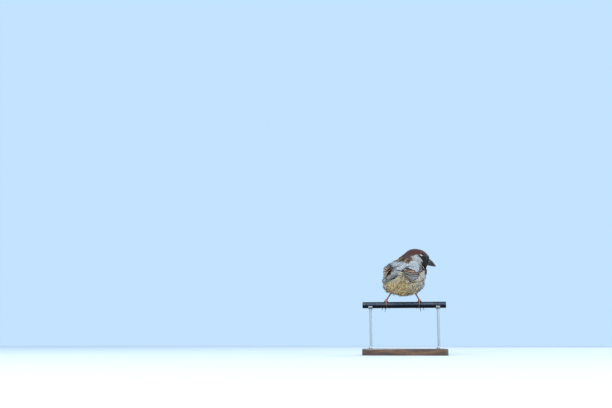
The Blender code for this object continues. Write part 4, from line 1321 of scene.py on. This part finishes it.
tailPlan = {
    "length": 57.6, "notch": 2.6,
    "rootSpread": (0.3, 0.5), "tipSpread": (0.9, 0.86),  # aside of the middle, and from one to the next
    # the tail's blue-grey edge and core are a painted sheen of the sky over dark brown feathers
    "look": featherLook("#8b8f96", "#3d4047", 0.84, 0.7, 6.0, 0.03, 0.0, 0.25, wide=6.6, rows=18, columns=7),
    "upper": featherLook("#bcc2c6", "#8a8c8e", 0.5, 0.6, 3.0, 0.16, 0.0, 0.35, 0.1, 0.13, rows=8),
    "under": featherLook("#e2cfa6", "#a98f62", 0.4, 0.6, 3.0, 0.18, 0.0, 0.35, 0.1, 0.13, rows=8),
    "covertRoots": (17.0, 12.5, 8.0, 3.5, -1.0, -5.5),
    "rootRadii": (1.1, 6.5),  # half height and half width of the bundle of shafts
}


def makeTail(plan):
    bed = newBed()
    for k in range(5, -1, -1):
        for sign in (-1, 1):
            length = plan["length"] - 0.4 - plan["notch"] * (1 - k / 5.5) ** 1.3 - (0.9 if k == 5 else 0)
            height = 0.55 - 0.16 * k - (0.03 if sign > 0 else 0)
            root, tip = (sign * (plan[key][0] + plan[key][1] * k) for key in ("rootSpread", "tipSpread"))
            layFeather(bed, tailPlace, plan["look"], (2.0, root), (length, tip),
                       lean=-0.12 * sign * (k > 0), lift=(height, height - 0.1))
    finishBed(bed, "tailFeathers", "tail", flightFinish, ["tail"])


def roundTail(x, degrees, height):  # on the skin while it lasts, then on the tail
    x, degrees, height = np.broadcast_arrays(np.asarray(x, float), degrees, height)
    high, wide = tailPlan["rootRadii"]
    begin = 40.0  # outside the skin
    places = np.zeros(x.shape + (3,))
    for index in np.ndindex(x.shape):
        turn = math.radians(float(degrees[index]))
        ray = math.cos(turn) * tailU + math.sin(turn) * tailR
        start = tailRoot + x[index] * tailF
        hit = skinTree.ray_cast(Vector(start + begin * ray), Vector(-ray), begin)
        far = 0.0 if hit[0] is None else begin - hit[3]
        flat = 1 / math.sqrt((math.cos(turn) / high) ** 2 + (math.sin(turn) / wide) ** 2)
        places[index] = start + (max(far, flat + 0.3) + height[index]) * ray
    return places


def makeTailCoverts(plan):  # upper and under coverts, in rows over the roots
    bed = newBed()

    def lay(look, root, tip, turn, lift):
        def spot(x, across, height):
            return roundTail(x, turn + across / 7.0 * 180 / math.pi, height)

        layFeather(bed, spot, look, (root, 0.0), (tip + chance.uniform(-1.0, 1.0), 0.0),
                   lift=(lift - 0.3, lift + 0.2))

    for row, root in enumerate(plan["covertRoots"]):
        lift = 0.1 + 0.2 * row
        for k in range(13):
            turn = -68 + 10.6 * k + (5.3 if row % 2 else 0) + chance.uniform(-3, 3)
            if root > -1.0 or turn > -8:  # the left wing's inner feathers show further up
                lay(plan["upper"], root, root + 13.0, turn, lift)
        for k in range(14):
            turn = 74 + 16.0 * k + (6.5 if row % 2 else 0) + chance.uniform(-3, 3)
            lay(plan["under"], root + 1.0, root + 15.5, turn, lift)
    finishBed(bed, "tailCoverts", "tail", coatFinish)


makeTail(tailPlan)
makeTailCoverts(tailPlan)
print("tail done")


# Bill

billPlan = {
    "length": 12.6, "lowerShort": 0.7, "halfWidth": 3.8, "base": 12.0, "back": 2.6, "rings": 30, "sides": 28,
    "upper": {"depth": 4.7, "fall": 1.7, "least": 0.15, "edge": 0.12, "ridge": 0.045, "sign": 1},
    "lower": {"depth": 3.9, "fall": 1.35, "least": 0.1, "edge": -0.12, "ridge": 0.02, "sign": -1},
    "nostrilX": 1.4, "nostrilDepth": 0.34,
}


def hornFinish():
    # Keratin horn of the bill: near black with a slate bloom, smooth and half glossy, with fine growth lines
    made, add = newMaterial("keratin horn")
    where = add("UVMap", uv_map="sheath")
    grain, dark = mottle(add, where, 6.0, 4.0, "#0c0c10", "#1d2027")  # blotches of 2 mm
    streaks = add("Mapping", {"Vector": where, "Scale": (60.0, 3.0, 1.0)})  # 0.2 mm apart
    streaks = add("TexNoise", {"Vector": streaks, "Scale": 1.0, "Detail": 2.0})
    along = add("SeparateXYZ", [where]).outputs["Y"]
    root = add("MapRange", {"Value": along, "From Min": 0.08, "From Max": 0.4, "To Min": 0.25, "To Max": 0.0})
    colour = add("Mix", {"Factor": root, "A": dark, "B": paint("#57514a")}, data_type="RGBA")
    rough = add("MapRange", {"Value": grain, "To Min": 0.28, "To Max": 0.46})
    return settle(made, {"Base Color": colour, "Roughness": rough, "IOR": 1.55}, (streaks, 0.25, 0.00012))


horn = hornFinish()


def makeBill(half, plan):
    shape = plan[half]
    upper = half == "upper"
    length = plan["length"] if upper else plan["length"] - plan["lowerShort"]
    turns = np.linspace(0, math.pi, plan["sides"])
    rings = []
    for x in (-plan["back"], -plan["back"] * 0.5, *(np.linspace(0, 1, plan["rings"]) ** 0.9 * length)):
        t = min(max(x / plan["length"], 0.0), 0.985)
        width = plan["halfWidth"] * (1 - t ** 1.25) + 0.12
        arch = shape["sign"] * (shape["depth"] * (1 - t ** shape["fall"]) + shape["least"])
        if x < 0:  # narrower inside the face
            width, arch = width * (1 + 0.10 * x), arch * (1 + 0.14 * x)
        root = headMiddle + (plan["base"] + x) * billF + (shape["edge"] - 0.5 * t * t) * billU
        swell = 1 + shape["ridge"] * np.exp(-((turns - math.pi / 2) / 0.16) ** 2) * (1 - t)
        if upper:
            holes = sum(np.exp(-((turns - place) / 0.22) ** 2) for place in (0.95, math.pi - 0.95))
            swell = swell - plan["nostrilDepth"] * np.exp(-((x - plan["nostrilX"]) / 0.9) ** 2) * holes
        arc = (root + (width * np.cos(turns) * swell)[:, None] * billR
               + (arch * np.sin(turns) ** 0.92 * swell)[:, None] * billU)
        bite = 0.22 * math.sin(math.pi * min(t * 1.15, 1)) * shape["sign"]
        inner = [root - q * width * billR + bite * billU for q in (0.86, 0.5, 0.0, -0.5, -0.86)]
        rings.append(np.concatenate([arc, inner]))
    mesh = loftMesh(f"bill{half.capitalize()}", rings)
    q = (arrays(mesh)[0] - headMiddle - plan["base"] * billF)[cornersOf(mesh)]
    turn = np.abs(np.arctan2(q @ billR, q @ np.cross(billR, billF))) / math.pi
    setUv(mesh, "sheath", np.stack([turn, (q @ billF) / plan["length"]], 1))  # round and along the horn
    place(newObject(mesh.name, mesh, horn), "bill", f"bill_{half}")


for half in ("upper", "lower"):
    makeBill(half, billPlan)


# Eyes and their lids

eyePlan = {
    "forward": 0.22, "up": 0.03,  # the way it looks, beside straight out
    "bulge": 1.04,  # of the cornea
    "lidRadius": 2.42, "lidTube": 0.40, "lidBeads": 34, "beadRadius": 0.21,
}


def eyeFinish():
    # Wet cornea over a dark brown iris and black pupil: a sharp, clear highlight on near black
    made, add = newMaterial("wet cornea over dark iris")
    turn = add("Attribute", attribute_name="gaze").outputs["Fac"]  # 0 at the pupil, 1 at the back
    iris = add("ValToRGB", {"Fac": turn}, (
        (0.0, "#050404"), (0.155, "#050404"), (0.175, "#2b1a10"), (0.25, "#3a2416"), (0.285, "#170e09"),
        (1.0, "#120c08")))
    where = add("TexCoord").outputs["Object"]
    grain = add("TexNoise", {"Vector": where, "Scale": 4000.0, "Detail": 2.0})  # 0.25 mm
    shade = add("MapRange", {"Value": grain, "To Min": 0.7, "To Max": 1.3})
    final = add("VectorMath", {0: iris, "Scale": shade}, operation="SCALE")
    return settle(made, {"Base Color": final, "Roughness": 0.06, "IOR": 1.376})


def lidFinish():
    # Bare rim of the eyelid: dark grey, slightly moist skin in tiny beads, with a grain of 0.3 mm
    made, add = newMaterial("bare eyelid skin")
    grain, colour = mottle(add, add("TexCoord").outputs["Object"], 3500.0, 2.0, "#1b1918", "#4a4541")
    return settle(made, {"Base Color": colour, "Roughness": 0.5}, (grain, 0.4, 0.0001))


def beadTree():  # small beads along a closed line, for the rims of the lids
    tree, add, given = newTree("bead row", {"Line": "Geometry", "Count": "Int", "Bead radius": "Float",
                                            "Seed": "Int", "Finish": "Material"})
    line = add("GeometryNodeMeshToCurve", [given["Line"]])
    dots = add("GeometryNodeResampleCurve", {"Curve": line, "Count": given["Count"]})
    bead = add("GeometryNodeMeshIcoSphere", {"Radius": given["Bead radius"], "Subdivisions": 2})
    odd = add("FunctionNodeRandomValue", {"Min": 0.8, "Max": 1.2, "Seed": given["Seed"]})
    put = add("GeometryNodeInstanceOnPoints", {"Points": dots, "Instance": bead, "Scale": odd})
    real = add("GeometryNodeRealizeInstances", [put])
    real = add("GeometryNodeSetMaterial", {"Geometry": real, "Material": given["Finish"]})
    add("NodeGroupOutput", [real])
    return tree


beadRow, cornea, lidSkin = beadTree(), eyeFinish(), lidFinish()


def makeEye(side, plan):
    radius, title, middle = skinPlan["eyeRadius"], side.capitalize(), eyeAt[side]
    gaze = unit(sides[side] * headR + plan["forward"] * headF + plan["up"] * headU)
    one = unit(np.cross(gaze, headU))
    two = np.cross(one, gaze)
    round40 = np.cos(turnsOf(40))[:, None] * one + np.sin(turnsOf(40))[:, None] * two
    rings = []
    for polar in math.pi * np.arange(1, 28) / 28:
        out = radius * math.cos(polar) * (plan["bulge"] if polar < 0.6 else 1.0)
        rings.append(middle + out * gaze + radius * math.sin(polar) * round40)
    mesh = loftMesh(f"eye{side}", rings, middle + plan["bulge"] * radius * gaze, middle - radius * gaze)
    angle = np.arccos(np.clip(unit(arrays(mesh)[0] - middle) @ gaze, -1, 1)) / math.pi
    setAttribute(mesh, "gaze", angle)
    place(newObject(f"eye{title}", mesh, cornea), "eye", f"eye_{side}")
    # lids: a rim lying on the ball, fuller above, drawn out a little towards the bill and the nape
    turn = np.linspace(0, 2 * np.pi, 49)[:-1]
    wide = plan["lidRadius"] * (1 + 0.10 * np.cos(2 * turn)) * (1 - 0.04 * np.sin(turn))
    depth = np.sqrt(np.maximum((radius + 0.06) ** 2 - wide ** 2, 0.2))
    line = (middle + depth[:, None] * gaze + (wide * np.cos(turn))[:, None] * one * sides[side]
            + (wide * np.sin(turn))[:, None] * two)
    outward = unit(line - middle)
    aside = np.cross(unit(np.roll(line, -1, 0) - np.roll(line, 1, 0)), outward)
    tube = plan["lidTube"] * (1 + 0.22 * np.sin(turn))
    round10 = turnsOf(10)[None, :, None]
    rings = line[:, None] + tube[:, None, None] * (np.cos(round10) * outward[:, None] * 0.75
                                                   + np.sin(round10) * aside[:, None] * 1.25)
    place(newObject(f"lid{title}", loftMesh("lid", rings, wrap=True), lidSkin), "eye")
    edge = bpy.data.meshes.new("lidLine")
    links = [(k, (k + 1) % len(line)) for k in range(len(line))]
    edge.from_pydata(((line + 0.18 * outward) * mm).tolist(), links, [])
    beads = grown("lidBeads", edge, beadRow, {
        "Count": plan["lidBeads"], "Bead radius": plan["beadRadius"] * mm, "Seed": 3, "Finish": lidSkin})
    beads.shade_smooth()
    place(newObject(f"lidBeads{title}", beads), "eye")


for side in sides:
    makeEye(side, eyePlan)
print("bill and eyes done")


# Shanks, toes and claws

perchZ, perchRadius = 62.0, 3.9  # the cable's middle, and its radius
legPlan = {
    "footX": {"left": -22.4, "right": 19.4}, "footUp": 5.45,
    "heel": {"left": (-15.2, -12.5, 15.0), "right": (13.6, -12.5, 15.4)},
    "bare": 0.83, "shankRadius": 0.85, "toeRadius": 0.74, "clawRadius": 0.55, "gap": 0.3,
    "scute": 1.05, "toeScute": 0.8,  # length of one scale
    "shankShape": (1.25, 1.12, 1.0, 0.98, 1.0, 1.06, 1.25, 1.4),
    "pad": 1.9, "padPole": 1.83,
    "toes": {  # ahead, side start, side spread, degrees round the cable, straight drop, claw length
        "hind": (-0.6, 0.0, 0.5, -84.0, 0.0, 6.0), "inner": (0.5, 1.0, 1.8, 88.0, 0.6, 4.6),
        "middle": (0.7, 0.0, -1.0, 90.0, 3.6, 5.0), "outer": (0.5, -1.0, -3.2, 89.0, 2.4, 4.8)},
}


def legFinish():
    # Horny scales over the foot: pinkish brown, dry, with darker seams between the scales, and painted shade
    # darkening the upper shank under the belly
    made, add = newMaterial("horny leg scales")
    where = add("TexCoord").outputs["Object"]
    _, colour = mottle(add, where, 900.0, 3.0, "#99594a", "#cf917c")  # 1.1 mm
    fine = add("TexVoronoi", {"Vector": where, "Scale": 2600.0}, feature="DISTANCE_TO_EDGE")  # 0.4 mm
    seam = add("Attribute", attribute_name="seam").outputs["Fac"]
    height = add("SeparateXYZ", [where]).outputs["Z"]
    # painted shade: the shank darkens upwards, towards the belly
    heel = add("MapRange", {"Value": height, "From Min": 0.0690, "From Max": 0.0735, "To Max": 0.85})
    for share, tone in ((seam, "#5b3a30"), (heel, "#3d3233")):
        colour = add("Mix", {"Factor": share, "A": colour, "B": paint(tone)}, data_type="RGBA")
    return settle(made, {"Base Color": colour, "Roughness": 0.52, "IOR": 1.5, "Subsurface Weight": 0.12,
                         "Subsurface Radius": (0.0012, 0.0005, 0.0003)}, (fine, 0.35, 0.0001))


def clawFinish():
    # Claw horn: dark brown keratin, paler at its root, smooth and half glossy
    made, add = newMaterial("claw keratin")
    share = add("Attribute", attribute_name="alongClaw").outputs["Fac"]
    colour = add("Mix", {"Factor": share, "A": paint("#6b4438"), "B": paint("#2a1a15")}, data_type="RGBA")
    return settle(made, {"Base Color": colour, "Roughness": 0.34, "IOR": 1.55})


scaly, clawHorn = legFinish(), clawFinish()


def onPerch(x, y, z):
    return np.array([x, y, perchZ + z])


def scaledTube(name, path, radii, front, scute, count=16, depth=0.13):
    # rings close together; each scale swells and steps in at its seam, most on the front
    path = np.array(path)
    span = np.concatenate([[0], np.cumsum(np.linalg.norm(np.diff(path, axis=0), axis=1))])
    scales = max(int(round(span[-1] / scute)), 2)
    stops = (np.arange(scales)[:, None] + np.array([0.0, 0.12, 0.5, 0.9, 0.97])).ravel()
    stops = np.unique([*stops, scales]) / scales
    here = np.stack([np.interp(stops * span[-1], span, path[:, k]) for k in range(3)], 1)
    size = np.interp(stops, np.linspace(0, 1, len(radii)), radii)
    phase = (stops * scales) % 1.0
    step = np.where(phase < 0.9, ease(phase, 0.0, 0.3) * 0.8 + 0.2 * phase, 0.0)
    rings = tubeRings(here, size, count)
    toFront = np.array([unit(ring - c) @ front for ring, c in zip(rings, here)])
    swell = 1 + depth * (step[:, None] - 0.5) * ease(toFront, -0.3, 0.5)
    rings = here[:, None] + (rings - here[:, None]) * swell[..., None]
    along = unit(here[-1] - here[-2])
    mesh = loftMesh(name, rings, here[0] - 0.2 * unit(here[1] - here[0]), here[-1] + size[-1] * 0.55 * along)
    nearest = np.argmin(((arrays(mesh)[0][:, None] - here[None]) ** 2).sum(2), 1)
    setAttribute(mesh, "seam", np.where(step[nearest] < 0.15, 0.8, 0.0))
    return mesh


def toePath(side, toe, plan, count):  # over the cable and down its other side
    ahead, start, spread, roundBy, drop, _ = plan["toes"][toe]
    radius = perchRadius + plan["gap"] + plan["toeRadius"]
    arc = radius * math.radians(abs(roundBy))
    made = []
    for k in range(count):
        t = k / (count - 1)
        gone = t * (arc + drop)
        bent = min(gone / arc, 1.0)
        turn = math.radians(roundBy * bent)
        lift = (plan["footUp"] - radius) * (1 - bent) ** 2 * 0.8
        x = plan["footX"][side] - sides[side] * (start + spread * t)
        y = ahead * (1 - bent) + (radius + lift) * math.sin(turn)
        made.append(onPerch(x, y, (radius + lift) * math.cos(turn) - max(gone - arc, 0.0)))
    return np.array(made)


def makeShank(side, plan, heel, joint):
    along = unit(joint - heel)
    start = heel + (joint - heel) * (1 - plan["bare"]) - 1.6 * along
    radii = [plan["shankRadius"] * k for k in plan["shankShape"]]
    path = [start + (joint + 0.4 * along - start) * t for t in np.linspace(0, 1, 12)]
    mesh = scaledTube("shank", path, radii, unit(np.array([0.0, 1.0, 0.25])), plan["scute"], 18)
    place(newObject(f"shank{side.capitalize()}", mesh, scaly), "leg", f"shank_{side}")


def makeFoot(side, plan, middle):  # the toes, and the pad where they meet
    parts = []
    t = np.linspace(0, 1, 26)
    for toe in plan["toes"]:
        path = toePath(side, toe, plan, 26)
        lumps = 3 if toe != "hind" else 2
        radii = plan["toeRadius"] * (1.04 - 0.16 * t + 0.10 * np.cos(2 * math.pi * lumps * t))
        away = unit(path[13] - np.array([path[13][0], 0, perchZ]))
        parts.append(scaledTube("toe", path, radii, away, plan["toeScute"], 14, 0.12))
    turn = turnsOf(18)
    rings = []
    for polar in np.linspace(0.2, math.pi - 0.2, 12):
        ring = np.stack([1.0 * np.cos(turn) * math.sin(polar), 1.12 * np.sin(turn) * math.sin(polar),
                         0 * turn + 0.95 * math.cos(polar)], 1)
        rings.append(middle + plan["pad"] * ring)
    pole = np.array([0, 0, plan["padPole"]])
    pad = loftMesh("pad", rings, middle + pole, middle - pole)
    setAttribute(pad, "seam", np.zeros(len(pad.vertices)))
    name = f"foot{side.capitalize()}"
    place(newObject(name, joinMeshes(name, [*parts, pad]), scaly), "leg", f"foot_{side}")


def makeClaw(side, toe, plan):
    path = toePath(side, toe, plan, 8)
    ahead = unit(path[-1] - path[-2])
    *_, roundBy, _, length = plan["toes"][toe]
    hook = np.array([0.0, -1.0 if roundBy > 0 else 1.0, 0.0])
    t = np.linspace(0, 1, 18)
    begin = path[-1] - 0.25 * ahead
    spine = begin + (length + 0.55) * (t[:, None] * ahead + 0.28 * (t ** 2)[:, None] * hook)
    offset = tubeRings(spine, 1.25 * plan["clawRadius"] * (1.05 - t) ** 0.6 + 0.03, 12) - spine[:, None]
    flat = unit(np.cross(ahead, hook))
    offset = offset - 0.28 * (offset @ flat)[..., None] * flat
    mesh = loftMesh("claw", spine[:, None] + offset, None, spine[-1] + 0.05 * ahead)
    setAttribute(mesh, "alongClaw", np.clip(((arrays(mesh)[0] - begin) @ ahead) / length, 0, 1))
    name = f"claw{side.capitalize()}{toe.capitalize()}"
    place(newObject(name, mesh, clawHorn), "claw", f"claw_{side}_{toe}")


def makeLeg(side, plan):
    heel = onPerch(*plan["heel"][side])
    joint = onPerch(plan["footX"][side], 0.0, plan["footUp"])
    makeShank(side, plan, heel, joint)
    makeFoot(side, plan, joint + 0.5 * unit(heel - joint))
    for toe in plan["toes"]:
        makeClaw(side, toe, plan)


for side in sides:
    makeLeg(side, legPlan)
print("legs done")


# The cut of cable and the stand

cablePlan = {"length": 104.0, "recess": 0.9, "core": 2.55, "strand": 0.80, "edge": 0.35}


def sheathFinish():
    # Extruded PVC sheath: black, with a blue-grey band along its upper half that is dust in spots and a
    # painted highlight of the sky, faint long drag lines
    made, add = newMaterial("weathered PVC sheath")
    where = add("TexCoord").outputs["Object"]
    lines = add("Mapping", {"Vector": where, "Scale": (25.0, 2600.0, 2600.0)})  # 0.4 mm apart
    lines = add("TexNoise", {"Vector": lines, "Scale": 1.0, "Detail": 2.0})
    spots = add("TexNoise", {"Vector": where, "Scale": 260.0, "Detail": 5.0})  # 4 mm
    height = add("SeparateXYZ", [where]).outputs["Z"]
    dustAndPaintedHighlight = spots
    for low, high in ((0.0612, 0.0628), (0.0652, 0.0642)):  # the painted highlight band, from rise to fall, in metres
        share = add("MapRange", {"Value": height, "From Min": low, "From Max": high})
        dustAndPaintedHighlight = add("Math", [share, dustAndPaintedHighlight], operation="MULTIPLY")
    dustAndPaintedHighlight = add("MapRange", {"Value": dustAndPaintedHighlight, "From Min": 0.05, "From Max": 0.6, "To Max": 0.9})
    # the blue-grey mixed in here is dust and painted highlight together
    colour = add("Mix", {"Factor": dustAndPaintedHighlight, "A": paint("#0a0c12"), "B": paint("#56616e")}, data_type="RGBA")
    rough = add("MapRange", {"Value": spots, "To Min": 0.42, "To Max": 0.66})
    return settle(made, {"Base Color": colour, "Roughness": rough, "Specular IOR Level": 0.12, "IOR": 1.53},
                  (lines, 0.3, 0.0001))


def strandFinish():
    # Drawn aluminium strands, dull where they were sawn, with marks of 0.3 mm
    made, add = newMaterial("drawn aluminium strand")
    _, colour = mottle(add, add("TexCoord").outputs["Object"], 3000.0, 3.0, "#8f9499", "#c3c8cc")
    return settle(made, {"Base Color": colour, "Metallic": 1.0, "Roughness": 0.4})


def makeSheath(plan):
    half, radius, edge = plan["length"] / 2, perchRadius, plan["edge"]
    inner = plan["core"] + 0.12
    profile = [(-half + plan["recess"], 0.4), (-half + plan["recess"], inner), (-half, inner),
               (-half, radius - edge), (-half + edge * 0.4, radius - edge * 0.25), (-half + edge, radius)]
    mirrored = [(-x, r) for x, r in profile[::-1]]
    profile += [(x, radius) for x in np.linspace(-half + 2, half - 2, 27)] + mirrored
    turn = turnsOf(64)
    rings = [np.stack([0 * turn + x, np.cos(turn) * r, np.sin(turn) * r + perchZ], 1) for x, r in profile]
    mesh = loftMesh("cableSheath", rings)
    mesh.set_sharp_from_angle(angle=math.radians(50))
    place(newObject("cableSheath", mesh, sheathFinish()), "cable", "perch_cable")


def makeStrands(plan):  # six round one, seen in the sheath's cut ends
    half, radius = plan["length"] / 2, plan["strand"]
    radii = [radius, radius, radius - 0.1]
    parts = []
    for end in (-1, 1):
        for k in range(7):
            away = 0.0 if k == 0 else plan["core"] - radius - 0.06
            y, z = away * math.cos(k * math.pi / 3), perchZ + away * math.sin(k * math.pi / 3)
            path = [(end * (half - back), y, z) for back in (plan["recess"] + 0.3, 0.32, 0.25)]
            parts.append(loftMesh("strand", tubeRings(path, radii, 20, (0.0, 1.0, 0.0))))
    strands = joinMeshes("cableStrands", parts)
    strands.set_sharp_from_angle(angle=math.radians(40))
    place(newObject("cableStrands", strands, strandFinish()), "cable")


makeSheath(cablePlan)
makeStrands(cablePlan)


def woodFinish():
    # Walnut, planed along the grain and clear lacquered: dark figure, 4 mm apart, and pores, 0.45 mm
    # apart, under a satin coat
    made, add = newMaterial("lacquered walnut")
    where = add("TexCoord").outputs["Object"]
    bend = add("TexNoise", {"Vector": where, "Scale": 14.0, "Detail": 2.0}).outputs["Color"]
    bent = add("VectorMath", [bend, (0.02, 0.02, 0.02), where], operation="MULTIPLY_ADD")
    figure, pores = (
        add("TexNoise", {"Vector": add("Mapping", {"Vector": base, "Scale": scale}), "Scale": 1.0,
                         "Detail": detail})
        for base, scale, detail in ((bent, (9.0, 240.0, 240.0), 4.0), (where, (120.0, 2200.0, 2200.0), 1.0)))
    pit = add("MapRange", {"Value": pores, "From Min": 0.62, "From Max": 0.72})
    brown = add("ValToRGB", {"Fac": figure}, ((0.3, "#2f1d12"), (0.5, "#553620"), (0.7, "#7a5233")))
    colour = add("Mix", {"Factor": pit, "A": brown, "B": paint("#20130b")}, data_type="RGBA")
    return settle(made, {"Base Color": colour, "Roughness": 0.38, "Coat Weight": 0.5, "Coat Roughness": 0.12},
                  (figure, 0.12, 0.0002))


def steelFinish():
    # Stainless steel brushed round the rod: fine rings, 0.1 mm apart, stretch the highlight
    made, add = newMaterial("brushed stainless steel")
    where = add("Mapping", {"Vector": add("TexCoord").outputs["Object"], "Scale": (150.0, 150.0, 9000.0)})
    rings, colour = mottle(add, where, 1.0, 2.0, "#a9adb0", "#d2d5d6")
    rough = add("MapRange", {"Value": rings, "To Min": 0.24, "To Max": 0.42})
    return settle(made, {"Base Color": colour, "Roughness": rough, "Metallic": 1.0}, (rings, 0.15, 0.00005))


wood, steel = woodFinish(), steelFinish()
for name, finish in (("stand_base", wood), ("stand_rod_left", steel), ("stand_rod_right", steel)):
    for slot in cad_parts[name].material_slots:
        slot.material = finish

collarPlan = {
    "x": 42.0, "floor": 8.02,  # the top of the wood
    "profile": [(0.0, 1.75), (0.0, 3.6), (0.5, 3.6), (0.9, 3.2), (1.6, 2.3), (2.6, 2.05), (2.6, 1.75)],
}


def makeCollar(side, plan):  # a turned ferrule where the rod enters the wood
    turn = turnsOf(48)
    x = sides[side] * plan["x"]
    rings = [np.stack([x + r * np.cos(turn), r * np.sin(turn), 0 * turn + plan["floor"] + z], 1)
             for z, r in plan["profile"]]
    mesh = loftMesh("collar", rings, wrap=True)
    mesh.set_sharp_from_angle(angle=math.radians(30))
    place(newObject(f"stand_collar{side.capitalize()}", mesh, steel), "rod")


for side in sides:
    makeCollar(side, collarPlan)
print("cable and stand done")


# Floor, light and camera

stagePlan = {
    "floorReach": 3.0,  # metres
    "sky": "#c3e3fe",
    "lamps": {  # watts, size and place in metres, colour
        "key": (26.0, 0.9, (-0.55, -1.7, 1.35), (1.0, 0.97, 0.92)),
        "fill": (10.5, 1.4, (1.5, -1.3, 0.8), (0.9, 0.95, 1.0)),
        "rim": (9.0, 1.0, (0.9, 1.3, 1.3), (1.0, 0.98, 0.95))},
    "lampsAim": (0.0, 0.0, 0.09),
    "cameraAt": (0.0, -1.0, 0.015), "cameraYaw": 7.075, "cameraPitch": 10.052, "lens": 46.1176,
}


def floorFinish():
    # Matt painted board: pale, even and a little powdery, in faint clouds of 8 mm
    made, add = newMaterial("matt painted board")
    _, colour = mottle(add, add("TexCoord").outputs["Object"], 120.0, 3.0, "#e4e6e8", "#e9eaea")
    return settle(made, {"Base Color": colour, "Roughness": 0.85})


def aimed(name, data, spot, way):  # an object at spot that looks that way
    made = newObject(name, data)
    made.location = spot
    made.rotation_euler = Vector(way).to_track_quat("-Z", "Y").to_euler()
    return made


def makeStage(plan):
    reach = plan["floorReach"]
    mesh = bpy.data.meshes.new("floor")
    mesh.from_pydata([(-reach, -reach, 0), (reach, -reach, 0), (reach, reach, 0), (-reach, reach, 0)], [],
                     [(0, 1, 2, 3)])
    newObject("floor", mesh, floorFinish())
    world = bpy.data.worlds.new("pale sky")
    world.use_nodes = True
    world.node_tree.nodes["Background"].inputs["Color"].default_value = paint(plan["sky"])
    bpy.context.scene.world = world
    for name, (power, size, spot, colour) in plan["lamps"].items():
        light = bpy.data.lights.new(name, "AREA")
        light.energy = power
        light.size = size
        light.color = colour
        aimed(name, light, spot, Vector(plan["lampsAim"]) - Vector(spot))


def makeCamera(plan):
    lens = bpy.data.cameras.new("camera")
    lens.sensor_width = 36.0
    lens.lens = plan["lens"]
    lens.clip_start = 0.01
    yaw, pitch = math.radians(plan["cameraYaw"]), math.radians(plan["cameraPitch"])
    way = (-math.sin(yaw) * math.cos(pitch), math.cos(yaw) * math.cos(pitch), math.sin(pitch))
    bpy.context.scene.camera = aimed("camera", lens, plan["cameraAt"], way)


makeStage(stagePlan)
makeCamera(stagePlan)
bpy.context.scene.view_settings.view_transform = "Standard"
